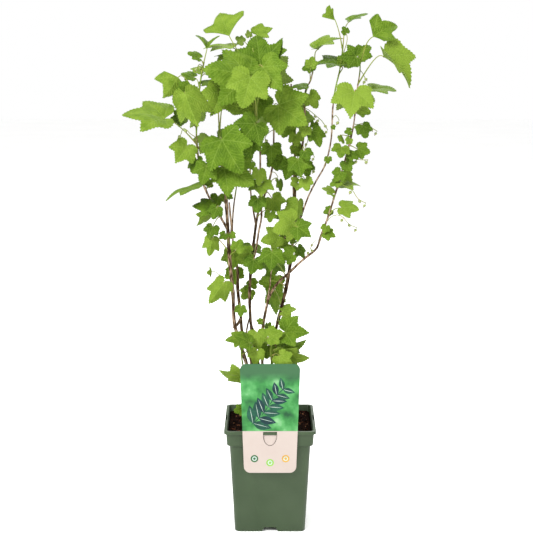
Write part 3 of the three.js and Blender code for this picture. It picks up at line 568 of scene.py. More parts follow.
def card_pattern(name, finishes):
    """A plain sprig of pointed leaves and three ringed discs, laid flat on the card's front."""
    shapes = []
    for step in range(SPRIG_LEAVES):
        at = (len(SPRIG_STEM) - 1) * (step + SPRIG_START) / SPRIG_LEAVES
        low = Vector(SPRIG_STEM[int(at)])
        high = Vector(SPRIG_STEM[int(at) + 1])
        foot = low.lerp(high, at % 1)
        rise = math.degrees(math.atan2(high.y - low.y, high.x - low.x))
        shrink = (SPRIG_LEAF["length"] - SPRIG_LEAF["least"]) * step / SPRIG_LEAVES
        length = SPRIG_LEAF["length"] - shrink
        for side in (1, -1):
            half = SPRIG_LEAF["half"] * length / SPRIG_LEAF["length"]
            bearing = rise + side * SPRIG_LEAF["turn"]
            ink = GREEN if (step + side) % 3 else TEAL
            shapes.append((flat_leaf(*foot, length, half, bearing), ink, 1))
            rib = flat_leaf(*foot, SPRIG_LEAF["rib"] * length, SPRIG_LEAF["rib_half"], bearing)
            shapes.append((rib, PALE, 2))
    for (x, z), (next_x, next_z) in zip(SPRIG_STEM, SPRIG_STEM[1:]):
        span = math.hypot(next_x - x, next_z - z)
        turn = math.degrees(math.atan2(next_z - z, next_x - x))
        shapes.append((flat_leaf(x, z, SPRIG_OVERLAP * span, SPRIG_HALF, turn), TEAL, 3))
    for x, z, radius, ink in DISCS:
        rounds = ((1, ink), (DISC_RING, PALE), (DISC_EYE, ink))
        for layer, (share, printed) in enumerate(rounds, start=1):
            reach = share * radius
            shapes.append((arc(x, z, reach, reach, *DISC_TURNS), printed, layer))
    points, faces, inks = [], [], []
    for order, (outline, ink, layer) in enumerate(shapes):
        start = len(points)
        depth = CARD["front"] + INK_LIFT * layer + INK_STEP * order
        points += [(x, -depth, z) for x, z in outline]
        faces.append(tuple(range(start, len(points))))
        inks.append(ink)
    return mesh_piece(name, points, faces, finishes, face_finish=inks, sharp=[True] * len(faces))


card_print = printed_card("card_print")
inks = [print_ink("ink_teal", (0.001, 0.018, 0.02), (0.004, 0.035, 0.04)),
        print_ink("ink_green", (0.003, 0.035, 0.025), (0.01, 0.075, 0.04)),
        print_ink("ink_pale", (0.32, 0.42, 0.37), (0.42, 0.48, 0.44)),
        print_ink("ink_leaf", (0.02, 0.08, 0.025), (0.03, 0.1, 0.035)),
        print_ink("ink_lime", (0.16, 0.34, 0.04), (0.2, 0.4, 0.06)),
        print_ink("ink_amber", (0.42, 0.22, 0.02), (0.48, 0.28, 0.03))]
settle(plate_piece("label_card", card_outline(), [window_outline()], CARD["front"], CARD["thick"],
                   [card_print]), "label")
settle(tongue_piece("label_tongue", card_print), "label")
settle(card_pattern("label_pattern", inks), "label")

# The canes: grown woody shoots that rise from the crown under the compost. Old bark is dark brown
# and cracked, last year's is a pinkish grey, and this year's tips are still green.
BARK_TO_TIP = 900
CANE_SIDES = 10
CANE_STEP = 5
STEM_FOOT_HEIGHT = 104
SOIL_REACH = 156
OLD_RADIUS = 2.1
YOUNG_RADIUS = 1.15
GREENING = 45
BARK_AGE = {"young": 0.45, "older": 0.4}
BARK_PATCHES = 1.1

# A path point is [x, z, depth y, radius]. A leaf is [height of its joint, x, z, depth y, reach of the
# middle lobe, bearing, lean towards the front, roll, fold of its sides towards its face, widest turn of
# its outline], placed at the foot of its blade. A spray is [height of its joint, depth y, berries, x, z,
# x, z, ...]. Places are as seen from the viewpoint on the plane y = 0. A cane is green from the height
# that its entry gives, or else has bark to its tip, and its whole bark is drawn darker by its darkening
# value.
CANES = {
    "left_leader": {"node": "cane_left", "green_from": 545, "bark_darkening": -0.02, "path": [
            [-12, 144, -4, 2.6], [-18, 182, -5, 2.6], [-28, 215, -7, 2.6], [-35, 240, -9, 2.6],
            [-45, 273, -12, 2.6], [-51, 296, -14, 2.6], [-53, 341, -18, 2.5], [-57, 385, -22, 2.4],
            [-60, 439, -24, 2.4], [-63, 494, -22, 2.1], [-66, 524, -20, 1.8], [-71, 579, -14, 1.3]],
        "leaves": [
            [570, -67, 625, -32, 39, -115, 25, 10], [575, -79, 636, -2, 22, 175, -20, -70],
            [506, -87, 522, -22, 10, 180, 0, 20], [518, -76, 534, -24, 18, -100, 10, 40],
            [466, -73, 479, -8, 19, -94, 50, 0], [474, -58, 480, -38, 7, -30, 10, 0],
            [545, -67, 559, -62, 52, -59, 15, 0], [400, -82, 419, -38, 24, -100, 20, 0, -40],
            [409, -64, 426, -38, 11, -140, 20, 0], [418, -55, 426, -34, 9, -40, 20, 0],
            [394, -48, 404, -34, 16, 60, 0, 0], [342, -83, 372, -32, 12, -179, 55, 0, 0, 64],
            [339, -66, 355, -42, 35, -127, 15, -10, -45], [560, -50, 562, 36, 42, -100, -35, 180],
            [500, -65, 520, -50, 48, -32, 5, 30]],
        "sprays": [
            [381, -30, 1, -69, 370, -77, 361, -82, 351]]},
    "left_branch": {"node": "cane_left", "green_from": 545, "path": [
            [-60, 432, -24, 1.8], [-73, 456, -26, 1.6], [-87, 481, -30, 1.4], [-96, 505, -33, 1.3],
            [-102, 552, -38, 1.2], [-102, 586, -40, 1.1], [-96, 641, -34, 1], [-91, 666, -30, 0.9]],
        "leaves": [
            [663, -98, 671, -34, 17, 152, 10, -60], [650, -87, 683, -24, 32, 87, -68, 0, 40, 62],
            [617, -127, 645, -36, 36, -126, 20, 10, -15, 84], [608, -114, 630, -48, 18, 195, 16, -10],
            [630, -106, 645, -18, 18, 163, 0, -60], [552, -147, 588, -50, 56, 176, 5, -62],
            [594, -118, 623, -64, 51, -67, 20, 0, -46], [575, -120, 592, -20, 20, -160, 0, 150],
            [644, -94, 652, -2, 18, 160, -20, -60], [538, -116, 550, -52, 29, -125, 20, 0],
            [520, -102, 531, -40, 21, -105, 25, -45], [500, -89, 522, -62, 26, -105, 20, 0],
            [489, -82, 498, -22, 11, 180, 0, 20], [498, -101, 491, -42, 47, -161, 5, -88],
            [470, -82, 463, -42, 27, 175, 5, -55], [462, -86, 459, -28, 27, -131, 10, 60],
            [457, -75, 463, -52, 17, -110, 20, 0], [452, -81, 436, -36, 17, -110, 20, 0],
            [600, -100, 606, 18, 38, -160, -40, 170], [545, -86, 556, 22, 30, -125, -40, 180]],
        "sprays": [
            [562, -56, 2, -112, 568, -120, 575, -124, 567], [659, -32, 2, -97, 663, -100, 659]]},
    "left_stub": {"node": "cane_left", "bark_darkening": 0.2, "path": [
            [-58.5, 418, -23, 1.6], [-54.5, 432, -25, 1.5], [-56, 452, -27, 1.4], [-57.5, 471, -28, 1.2]]},
    "left_second": {"node": "cane_left", "green_from": 470, "bark_darkening": 0.2, "path": [
            [-3, 144, 10, 2.4], [-12, 189, 10, 2.4], [-20, 224, 9, 2.4], [-30, 251, 8, 2.4],
            [-40, 283, 6, 2.3], [-42, 309, 6, 2.2], [-46, 345, 8, 2.2], [-46, 372, 8, 2],
            [-51, 400, 4, 1.6], [-53, 423, -4, 1.3], [-53, 443, -8, 1.2], [-51, 467, -10, 1.1],
            [-47, 494, -12, 0.9]],
        "leaves": [
            [384, -51, 399, -8, 26, -100, 0, 0], [349, -50, 374, 22, 22, -90, 10, 0],
            [322, -42, 320, -26, 14, -90, 20, 0], [395, -50, 400, 46, 26, -90, -35, 180]]},
    "left_knot": {"node": "cane_left", "path": [
            [-52, 290, -12, 2], [-47, 294, -4, 2], [-42, 303, 6, 2]]},
    "middle": {"node": "cane_middle", "bark_darkening": 0.2, "path": [
            [3, 144, 22, 2.2], [-6, 189, 20, 2.2], [-15, 227, 17, 2.2], [-25, 280, 14, 2.2],
            [-28, 302, 13, 2.1], [-29, 347, 12, 2], [-25, 397, 12, 2.1], [-19, 447, 12, 1.9]],
        "leaves": [
            [386, -28, 399, -14, 18, 185, 10, 0], [366, -23, 389, -26, 22, -100, 25, 0],
            [342, -27, 358, 24, 14, -60, 0, 0], [329, -29, 345, 26, 18, -130, 0, 0],
            [290, -20, 276, 46, 26, -90, -30, 180], [410, -26, 408, 44, 24, -100, -40, 180]]},
    "middle_low": {"node": "cane_middle", "bark_darkening": 0.15, "path": [
            [-18, 144, 18, 1.4], [-23, 204, 18, 1.4], [-29, 245, 18, 1.3], [-34, 277, 17, 1.3],
            [-32, 294, 15, 1.3], [-28, 308, 13, 1.3]]},
    "middle_fork": {"node": "cane_middle", "green_from": 540, "path": [
            [-20, 440, 12, 1.5], [-23, 456, 12, 1.3], [-27, 483, 16, 1.2], [-28, 524, 20, 1]],
        "leaves": [
            [522, -28, 541, 2, 16, 190, 0, 0], [514, -27, 528, -6, 14, -130, 10, 0]]},
    "middle_branch": {"node": "cane_middle", "green_from": 600, "path": [
            [-20, 438, 12, 1.7], [-16, 460, 14, 1.6], [-6, 486, 18, 1.5], [3, 520, 22, 1.4],
            [5, 552, 22, 1.3], [5, 597, 16, 1.1]],
        "leaves": [
            [592, 12, 607, -26, 50, -34, 20, 0], [486, 3, 476, -6, 24, -60, 20, 0],
            [450, 0, 456, -24, 14, -90, 20, 0], [545, 2, 549, 0, 24, -90, 30, 0],
            [524, 7, 534, 0, 20, -80, 20, 0], [497, 12, 501, -6, 15, -80, 10, 60],
            [590, 26, 602, 52, 46, -30, -40, 180]],
        "sprays": [
            [514, 16, 1, 7, 513, 11, 507], [573, 12, 2, -3, 568, -7, 561, -6, 554]]},
    "middle_leader": {"node": "cane_middle", "green_from": 575, "path": [
            [-24, 388, 12, 1.6], [-20, 403, 4, 1.5], [-16, 429, -4, 1.5], [-12, 452, -8, 1.5],
            [-14, 485, -12, 1.4], [-14, 545, -18, 1.3], [-18, 584, -20, 1.3], [-19, 604, -20, 1.2],
            [-17, 624, -18, 1.1], [-22, 669, -10, 0.9], [-24, 685, -8, 0.8]],
        "leaves": [
            [625, -56, 701, 2, 46, 114, -45, 0, 15, 64], [641, -53, 685, 10, 40, 180, -10, -82],
            [633, -54, 673, 18, 25, 178, -20, -75], [619, -31, 645, -36, 62, 169, 15, -30, -12],
            [660, -13, 659, -13, 50, 98, -30, 0, 15], [679, -18, 702, 20, 24, 20, -10, 45],
            [675, -28, 701, 15, 9, 110, 0, 150], [671, -37, 694, 14, 12, 150, 0, 150],
            [652, 5, 673, 0, 28, 60, -10, 55], [644, -10, 659, -58, 42, -50, 20, 0],
            [592, -27, 645, -70, 44, -106, 20, 0], [578, -21, 581, -52, 36, -130, 20, 0],
            [597, -17, 617, 8, 40, -110, 0, 0], [545, -23, 557, -42, 20, -105, 20, 0],
            [508, -17, 515, -36, 22, -90, 20, 40], [489, -12, 497, -32, 26, -90, 52, 0],
            [466, -17, 476, -36, 20, -95, 20, 0], [584, -32, 613, -4, 28, -140, 0, 0],
            [655, -42, 642, 42, 46, 150, -35, 175], [625, 0, 652, 42, 44, 40, -40, 180],
            [560, -15, 590, 50, 36, -80, -50, 180]]},
    "right": {"node": "cane_right", "green_from": 640, "bark_darkening": 0.05, "path": [
            [-12, 144, -16, 2.2], [-12, 189, -15, 2.2], [-11, 244, -13, 2.2], [-11, 283, -12, 2.1],
            [-6, 315, -12, 2.1], [0, 338, -12, 2], [11, 355, -13, 1.9], [26, 369, -14, 1.9],
            [47, 389, -14, 1.7], [62, 401, -14, 1.7], [67, 407, -14, 1.7], [73, 426, -14, 1.5],
            [79, 442, -16, 1.4], [90, 477, -20, 1.3], [105, 531, -24, 1.2], [116, 579, -24, 1.1],
            [120, 625, -24, 1], [124, 655, -24, 0.9], [123, 671, -24, 0.8]],
        "leaves": [
            [663, 141, 700, -30, 38, 26, -15, 28, 25, 84], [665, 122, 674, -6, 22, 43, -10, 30],
            [668, 118, 673, -36, 24, -180, 15, 0], [636, 156, 673, -42, 54, -48, 5, 58, 35],
            [619, 117, 625, -48, 42, -102, 36, -10], [606, 142, 628, -8, 32, -5, 0, 76],
            [595, 126, 602, -26, 15, -25, 10, 0], [575, 128, 578, -32, 18, -70, 10, 0],
            [567, 112, 571, -28, 9, 190, 0, 0], [563, 97, 563, -26, 11, -60, 10, 60],
            [552, 111, 560, -30, 9, -120, 10, 0], [545, 100, 548, -34, 20, -105, 48, 0],
            [551, 123, 546, -16, 18, -15, 10, 0], [534, 110, 539, -32, 15, -25, 10, 50],
            [520, 106, 528, -32, 16, -60, 20, 0], [505, 99, 514, -32, 17, -125, 20, 0],
            [508, 103, 511, -14, 17, -45, 10, 40], [511, 97, 500, -32, 14, 200, 10, -45],
            [489, 101, 494, -16, 26, 2, 0, 76], [474, 87, 483, -26, 17, 149, 10, -65],
            [453, 101, 463, -36, 24, -5, 10, 50], [450, 86, 460, -10, 12, 200, 0, -20],
            [429, 79, 437, -26, 11, -110, 20, 0], [420, 78, 427, -24, 16, -16, 10, 40],
            [291, -12, 299, -18, 8, 170, 0, 0], [285, -4, 295, -18, 12, -90, 10, 50],
            [622, 118, 618, 16, 40, -80, -50, 180]],
        "sprays": [
            [581, -26, 3, 122, 580, 130, 582, 139, 577, 149, 571],
            [539, -28, 3, 117, 533, 127, 531, 137, 531],
            [498, -42, 3, 106, 494, 115, 489, 124, 476, 135, 470],
            [442, -20, 3, 89, 452, 100, 452, 113, 439, 123, 435],
            [417, -18, 3, 64, 417, 59, 409, 56, 402], [655, -26, 2, 128, 650, 132, 642]]},
    "right_twig": {"node": "cane_right", "path": [
            [-6, 314, -12, 1.2], [-4, 330, -17, 1], [0, 352, -14, 0.9], [2, 372, -10, 0.9],
            [14, 406, -2, 0.8], [22, 422, 2, 0.7]],
        "leaves": [
            [400, 12, 423, -14, 26, 195, 15, 0], [413, 25, 412, -6, 14, 200, 20, 0],
            [383, 3, 400, -36, 27, -95, 20, 0], [417, 20, 426, 8, 12, -90, 0, 20]]},
    "back": {"node": "cane_back", "green_from": 640, "bark_darkening": 0.22, "path": [
            [16, 144, 4, 2.2], [13, 189, 5, 2.2], [8, 244, 8, 2.2], [7, 273, 9, 2.2], [9, 289, 10, 2.2],
            [18, 326, 11, 2.3], [24, 352, 12, 2.4], [31, 403, 12, 2.3], [34, 447, 12, 2.2],
            [35, 481, 12, 1.9], [36, 508, 10, 1.7], [44, 542, 8, 1.6], [48, 586, 8, 1.3],
            [48, 617, 8, 1.2], [50, 630, 8, 1.1], [56, 641, 6, 1], [62, 669, 2, 0.8]],
        "leaves": [
            [619, 49, 632, -2, 20, 180, 0, -72], [614, 54, 621, -2, 22, -60, 10, 30],
            [564, 50, 575, -28, 14, -110, 20, 0], [580, 61, 582, 6, 13, -90, 20, 40],
            [572, 58, 571, -14, 25, -62, 15, 40], [508, 29, 525, -4, 24, -110, 20, 0],
            [525, 39, 531, -18, 26, -80, 20, 0], [518, 50, 525, -2, 18, -80, 20, 0],
            [546, 49, 543, -26, 15, -70, 20, 0], [494, 38, 498, -10, 16, 190, 45, -20],
            [503, 49, 503, -12, 17, -75, 20, 0], [473, 39, 472, -8, 29, -96, 20, 20, -40],
            [423, 34, 443, -26, 34, 200, 20, 0], [396, 39, 436, -40, 24, -35, 20, 10],
            [394, 39, 406, 0, 18, -60, 10, 50], [384, 32, 397, -18, 20, 190, 25, 0],
            [403, 35, 416, -10, 12, 170, 0, -60], [663, 66, 683, 0, 37, 23, 0, 77, 17],
            [652, 59, 660, 4, 16, 200, 0, -40], [640, 56, 660, -18, 14, 80, 0, 0],
            [342, 8, 365, 30, 26, -120, 0, 0], [322, 6, 342, 42, 35, -85, 0, 0, -50],
            [350, -3, 358, 20, 14, 190, 0, 0], [306, 18, 313, 4, 21, 8, 0, 60],
            [298, 20, 307, -18, 12, -20, 10, 0], [440, 30, 448, 46, 32, -120, -40, 180],
            [360, 5, 384, 52, 30, -100, -30, 180], [260, 22, 264, 42, 26, -30, -40, 180]],
        "sprays": [
            [603, -4, 4, 54, 600, 64, 592, 72, 585, 80, 573], [536, -4, 1, 53, 540, 58, 541, 62, 535],
            [524, 6, 1, 57, 523, 63, 518], [568, -4, 3, 53, 561, 50, 550, 49, 543]]},
    "back_stub": {"node": "cane_back", "path": [
            [34, 466, 12, 1.6], [33, 496, 18, 1.5], [35, 531, 24, 1.4], [30, 573, 27, 1.3],
            [29, 636, 26, 1.2]],
        "leaves": [
            [573, 25, 582, 5, 22, -110, 10, 20], [559, 36, 566, -3, 17, -85, 10, 0],
            [545, 35, 550, 10, 16, -70, 0, 20], [512, 25, 528, 46, 28, -100, -40, 180],
            [575, 40, 587, 52, 30, -60, -40, 170]]},
    "back_branch": {"node": "cane_back", "green_from": 618, "path": [
            [33, 414, 12, 1.6], [41, 442, 6, 1.4], [53, 477, -2, 1.2], [64, 500, -6, 1.2],
            [77, 524, -10, 1.1], [85, 559, -14, 1.1], [87, 603, -16, 1.1], [90, 628, -18, 1],
            [96, 655, -20, 0.9], [100, 686, -20, 0.8]],
        "leaves": [
            [683, 89, 722, -20, 23, 113, -20, 30, 50, 62], [670, 110, 721, -15, 25, 19, 0, 78],
            [660, 104, 705, -28, 10, 120, 0, -20], [647, 98, 659, -8, 40, 179, 5, -75, 18],
            [660, 100, 663, -8, 16, 70, 0, 0], [573, 87, 578, -26, 6, -60, 0, 0],
            [524, 81, 534, -22, 9, -90, 10, 0]],
        "sprays": [
            [588, -18, 1, 91, 593, 96, 586]]},
    "shoot_right": {"node": "shoot_right", "green_from": 0, "path": [
            [6, 144, -26, 1.6], [4, 189, -26, 1.5], [2, 250, -26, 1.3], [1, 274, -26, 1],
            [-2, 292, -25, 0.9]],
        "leaves": [
            [262, 22, 283, -46, 35, 4, 20, 25, 25], [272, -1, 276, -56, 21, 23, 10, 20],
            [254, 19, 262, -20, 35, 16, 5, -45], [247, 16, 252, -38, 41, -5, 5, -45],
            [238, 14, 248, -58, 22, -40, 14, 0], [232, -3, 262, -14, 19, -98, 15, 5],
            [226, 9, 253, -12, 17, -72, 20, -15]]},
    "shoot_left": {"node": "shoot_left", "green_from": 0, "path": [
            [-23, 144, -26, 1.5], [-29, 189, -27, 1.4], [-39, 233, -28, 1.2], [-41, 254, -28, 1.1],
            [-38, 270, -28, 1]],
        "leaves": [
            [254, -19, 282, -31, 24, -84, 20, 0], [249, -19, 255, -46, 20, -100, 20, 0],
            [263, -40, 273, -34, 24, -172, 10, -62], [268, -30, 267, -53, 24, 150, 10, -55],
            [224, -39, 218, -44, 35, 168, 0, 45], [188, -39, 169, -46, 14, 200, 0, 0]]},
}


def seen_at(x, z, y):
    """The point at depth y that is seen from the viewpoint at (x, z) of the plane y = 0."""
    return EYE.lerp(Vector((x, 0, z)), (y - EYE.y) / -EYE.y)


def smooth_line(places):
    """A smooth line through places, each a point with its radius and its height from the front."""
    ways = []
    for k in range(len(places)):
        ahead = places[min(k + 1, len(places) - 1)][0]
        behind = places[max(k - 1, 0)][0]
        ways.append((ahead - behind).normalized())
    line = []
    for k in range(len(places) - 1):
        (here, radius, height), (there, next_radius, next_height) = places[k], places[k + 1]
        span = (there - here).length
        steps = max(2, round(span / CANE_STEP))
        for step in range(steps):
            t = step / steps
            at = (here * (2 * t ** 3 - 3 * t ** 2 + 1) + there * (3 * t ** 2 - 2 * t ** 3)
                  + ways[k] * span * (t ** 3 - 2 * t ** 2 + t) + ways[k + 1] * span * (t ** 3 - t ** 2))
            line.append((at, radius + t * (next_radius - radius), height + t * (next_height - height)))
    line.append(places[-1])
    return line


def cane_line(path):
    """A cane's middle line in space, with a straight foot down in the compost."""
    places = [(seen_at(x, z, y), radius, z) for x, z, y, radius in path]
    start, radius, _ = places[0]
    if start.z < SOIL_REACH:
        places.insert(0, (Vector((start.x, start.y, STEM_FOOT_HEIGHT)), radius, STEM_FOOT_HEIGHT))
    return smooth_line(places)


def point_at(line, height):
    """The point and the way of a cane's line at a height that is read from the front."""
    level = min(height, line[-1][2] - 1)
    high = max(1, next(k for k, place in enumerate(line) if place[2] >= level))
    (low_at, _, low), (high_at, _, top) = line[high - 1], line[high]
    at = low_at.lerp(high_at, (level - low) / (top - low))
    return at, (high_at - low_at).normalized()


def new_heap():
    """Shapes gathered for one mesh: points, faces, a mark for each point, and each face's finish."""
    return {"points": [], "faces": [], "marks": [], "finish": [], "sharp": []}


def add_shape(heap, points, faces, marks, finish=0, sharp=False):
    """Adds one shape to a heap."""
    start = len(heap["points"])
    heap["points"] += points
    heap["marks"] += marks
    heap["faces"] += [tuple(start + corner for corner in face) for face in faces]
    heap["finish"] += [finish] * len(faces)
    heap["sharp"] += [sharp] * len(faces)


def rod(points, radii, sides):
    """Points and faces of a tapered rod along points."""
    side = Vector((1, 0.2, 0))
    rings = []
    for i, (point, radius) in enumerate(zip(points, radii)):
        along = (points[min(i + 1, len(points) - 1)] - points[max(i - 1, 0)]).normalized()
        side = (side - along * side.dot(along)).normalized()
        other = along.cross(side)
        rings.append([point + side * (radius * math.cos(2 * math.pi * k / sides))
                      + other * (radius * math.sin(2 * math.pi * k / sides)) for k in range(sides)])
    return skin(rings)


def heap_piece(name, heap, finishes, node):
    """Makes one piece of a heap and settles it in the place of its node."""
    piece = mesh_piece(name, heap["points"], heap["faces"], finishes, heap["marks"],
                       heap["finish"], heap["sharp"])
    return settle(piece, node)


def bark_age(cane, height, radius):
    """0 on a green tip, about a half on last year's bark and 1 on old bark."""
    old = min(1, max(0, (radius - YOUNG_RADIUS) / (OLD_RADIUS - YOUNG_RADIUS)))
    ripe = min(1, max(0, (cane.get("green_from", BARK_TO_TIP) - height) / GREENING + 0.5))
    # A cane's darkening value from its entry adds to the age and darkens all of its bark.
    return (BARK_AGE["young"] + BARK_AGE["older"] * old + cane.get("bark_darkening", 0)) * ripe


def worked_out(tree, operation, *values, clamp=False):
    """One step of arithmetic on sockets and numbers."""
    return add_node(tree, "ShaderNodeMath", dict(enumerate(values)), operation=operation,
                    use_clamp=clamp).outputs[0]


def cane_bark(name):
    """Bark: green on the tips, pinkish grey below, dark brown on old wood, streaked along the cane."""
    material, tree, shader, where = blank_finish(name)
    parts = mark_parts(tree)
    drawn = add_node(tree, "ShaderNodeMapping", {"Vector": where, "Scale": (420, 420, 100)})
    streak = noise(tree, drawn.outputs["Vector"], 1.0, 6.0)
    patch = noise(tree, where, 70.0, 3.0)
    drift = worked_out(tree, "SUBTRACT", patch, 0.5)
    part_drift = worked_out(tree, "MULTIPLY", drift, BARK_PATCHES)
    age = worked_out(tree, "ADD", parts["X"], part_drift, clamp=True)
    base = colour_steps(tree, age, [
        (0.0, 0.16, 0.24, 0.03), (0.2, 0.25, 0.22, 0.09), (0.42, 0.36, 0.265, 0.19),
        (0.7, 0.31, 0.22, 0.145), (0.85, 0.2, 0.135, 0.08), (1.0, 0.11, 0.07, 0.036)])
    light = ranged(tree, streak, start=0.45, end=0.56)
    cracks = colour_steps(tree, age, [
        (0.0, 0.11, 0.16, 0.02), (0.3, 0.1, 0.055, 0.025), (1.0, 0.016, 0.008, 0.003)])
    mixed = mixed_colour(tree, light, cracks, base)
    rough = ranged(tree, age, 0.45, 0.85)
    fill_inputs(tree, shader, {"Base Color": mixed, "Roughness": rough, "Specular IOR Level": 0.06})
    grain_relief(tree, shader, streak, 0.6, 0.0006)
    return material


KNOT_SWELL = 0.24
UNEVEN = 0.07
BUD_LENGTH = 4.2
BUD_RADII = (0.55, 1.25, 1.0, 0.5, 0.1)
BUD_SIDES = 6
BUD_SIZE = {"least": 0.45, "by_radius": 0.3}
BUD_FOOT = {"out": 0.5, "up": 1.0}
BUD_WAY = {"up": 0.8, "out": 0.75}
BUD_AGE = {"share": 0.62, "least": 0.05}
cane_random = random.Random(3)
bark = cane_bark("cane_bark")
lines = {name: cane_line(cane["path"]) for name, cane in CANES.items()}
nodes = list(dict.fromkeys(cane["node"] for cane in CANES.values()))
for node in nodes:
    wood = new_heap()
    for name, cane in CANES.items():
        if cane["node"] != node:
            continue
        line = lines[name]
        knots = [row[0] for row in cane.get("leaves", [])]
        radii = []
        for at, radius, height in line:
            near = min((abs(height - knot) for knot in knots), default=CANE_STEP)
            swell = KNOT_SWELL * max(0, 1 - near / CANE_STEP)
            radii.append(radius * (1 + swell + cane_random.uniform(-UNEVEN, UNEVEN)))
        points, faces = rod([place[0] for place in line], radii, CANE_SIDES)
        marks = [(bark_age(cane, height, radius), 0, 0)
                 for _, radius, height in line for _ in range(CANE_SIDES)]
        add_shape(wood, points, faces, marks)
        for joint, x, z, y, *_ in cane.get("leaves", []):
            start, way = point_at(line, joint)
            radius = min(line, key=lambda place: abs(place[2] - joint))[1]
            out = seen_at(x, z, y) - start
            out = (out - way * out.dot(way)).normalized()
            size = min(1, BUD_SIZE["least"] + BUD_SIZE["by_radius"] * radius)
            root = start + out * radius * BUD_FOOT["out"] + way * BUD_FOOT["up"]
            rise = (way * BUD_WAY["up"] + out * BUD_WAY["out"]).normalized()
            tip = root + rise * BUD_LENGTH * size
            stations = [root.lerp(tip, k / (len(BUD_RADII) - 1)) for k in range(len(BUD_RADII))]
            points, faces = rod(stations, [each * size for each in BUD_RADII], BUD_SIDES)
            age = BUD_AGE["share"] * bark_age(cane, joint, radius) + BUD_AGE["least"]
            add_shape(wood, points, faces, [(age, 0, 0)] * len(points))
    heap_piece(node + "_wood", wood, [bark], node)

# The leaves: thin blades of three to five toothed lobes, with five main veins that spread from the
# foot and side veins that pleat the blade between them. Each hangs on a thin green stalk that grew
# from a joint of its cane.
BLADE_THICK = 0.5
BLADE_CAMBER = 0.1
BLADE_DROOP = 0.16
BLADE_FOLD = 0.13
BLADE_WAVE = 0.045
BLADE_TILTS = (-3, 13)
BLADE_CURLS = (-0.07, 0.1)
LOBE_SIZES = (0.94, 1.05)
TOOTH_SIZES = (0.6, 1.4)
WAVES = 5
RING_SPREAD = 0.85
BITE_AT_RIM = 12
LEAF_TONE = {"least": 0.53, "full": 0.2, "full_reach": 46, "drift": 0.3}
STALK_RADIUS = 0.8
STALK_STEPS = 9
STALK_SIDES = 7
STALK_BEND = {"behind": 0.35, "most_behind": 12, "bow": 0.35, "bow_up": 0.12}
STALK_HOLD = {"share": 0.06, "most": 1.2, "under": 0.1}
STALK_SIZE = {"least": 0.65, "by_reach": 80, "tip": 0.8, "foot": 0.5}
VEIN_TURNS = (-100, -50, 0, 50, 100)
VEIN_WIDTH = 0.02
VEIN_SLANT = 0.9
VEIN_WANDER = 0.16
SIDE_VEINS = 9.0
LIGHT_THROUGH = 0.22
LOBED_OUTLINE = [(0, 1.01), (5, 0.94), (11, 0.87), (18, 0.78), (25, 0.7), (30, 0.66), (36, 0.7),
                 (43, 0.79), (50, 0.88), (56, 0.81), (64, 0.7), (72, 0.61), (78, 0.57), (85, 0.57),
                 (94, 0.59), (103, 0.56), (113, 0.49), (124, 0.4), (134, 0.31), (146, 0.22)]
ROUND_OUTLINE = [(0, 0.98), (9, 0.94), (17, 0.85), (24, 0.73), (29, 0.68), (34, 0.71), (42, 0.79),
                 (50, 0.83), (58, 0.77), (67, 0.66), (76, 0.58), (85, 0.58), (94, 0.58), (104, 0.53),
                 (116, 0.45), (130, 0.36), (142, 0.27)]
# Least reach, teeth on each side of the rim, rings from the foot to the rim, depth of a tooth, outline
LEAF_GRADES = [(36, 24, 9, 0.027, LOBED_OUTLINE), (24, 18, 7, 0.03, LOBED_OUTLINE),
               (12, 10, 5, 0.036, ROUND_OUTLINE), (0, 6, 4, 0.034, ROUND_OUTLINE)]
TOOTH_STEPS = (-0.45, 0.15, 0.75)
FULL_REACH = 40
leaf_random = random.Random(23)


def blade_axes(bearing, lean, roll):
    """Directions of a blade: along its middle lobe, across it, and out of its upper face."""
    b, l, r = (math.radians(turn) for turn in (bearing, lean, roll))
    along = Vector((math.cos(l) * math.cos(b), -math.sin(l), math.cos(l) * math.sin(b)))
    front = Vector((0, -1, 0))
    level = (front - along * front.dot(along)).normalized()
    face = level * math.cos(r) + level.cross(along) * math.sin(r)
    return along, face.cross(along), face


def toothed_rim(teeth, tooth, outline, spread):
    """The rim from side to side of the foot: smooth places in shares of the reach, with their teeth."""
    lobes = [leaf_random.uniform(*LOBE_SIZES) for _ in VEIN_TURNS]
    corners = []
    half = [place for place in outline if place[0] <= spread]
    for turn, share in [(-t, s) for t, s in reversed(half[1:])] + half:
        nearest = min(range(len(VEIN_TURNS)), key=lambda k: abs(VEIN_TURNS[k] - turn))
        share *= lobes[nearest] if turn else 1
        angle = math.radians(turn)
        corners.append(Vector((share * math.cos(angle), share * math.sin(angle))))
    lengths = [0]
    for a, b in zip(corners, corners[1:]):
        lengths.append(lengths[-1] + (b - a).length)
    rim = []
    k = 0
    steps = len(TOOTH_STEPS)
    tip = teeth * steps
    for i in range(2 * tip + 1):
        wanted = lengths[-1] * i / (2 * tip)
        while k < len(corners) - 2 and lengths[k + 1] < wanted:
            k += 1
        share = (wanted - lengths[k]) / (lengths[k + 1] - lengths[k])
        place = corners[k].lerp(corners[k + 1], share)
        way = (corners[k + 1] - corners[k]).normalized()
        out = Vector((way.y, -way.x))
        from_tip = abs(tip - i)
        size = tooth * TOOTH_STEPS[-from_tip % steps] * leaf_random.uniform(*TOOTH_SIZES)
        rim.append((place, out * (size if 0 < i < 2 * tip else 0)))
    return rim


def vein_place(forward, sideways):
    """How far along its nearest main vein a place lies, and how far off it."""
    reach = math.hypot(forward, sideways)
    turn = math.degrees(math.atan2(sideways, forward))
    off = math.radians(min(abs(turn - vein) for vein in VEIN_TURNS))
    return reach * math.cos(off), reach * math.sin(off)


def leaf_tone(reach):
    """0 on a dark leaf and 1 on a fresh light one."""
    tone = LEAF_TONE["least"] + LEAF_TONE["full"] * min(1, reach / LEAF_TONE["full_reach"])
    return min(1, max(0, tone + leaf_random.uniform(-LEAF_TONE["drift"], LEAF_TONE["drift"])))


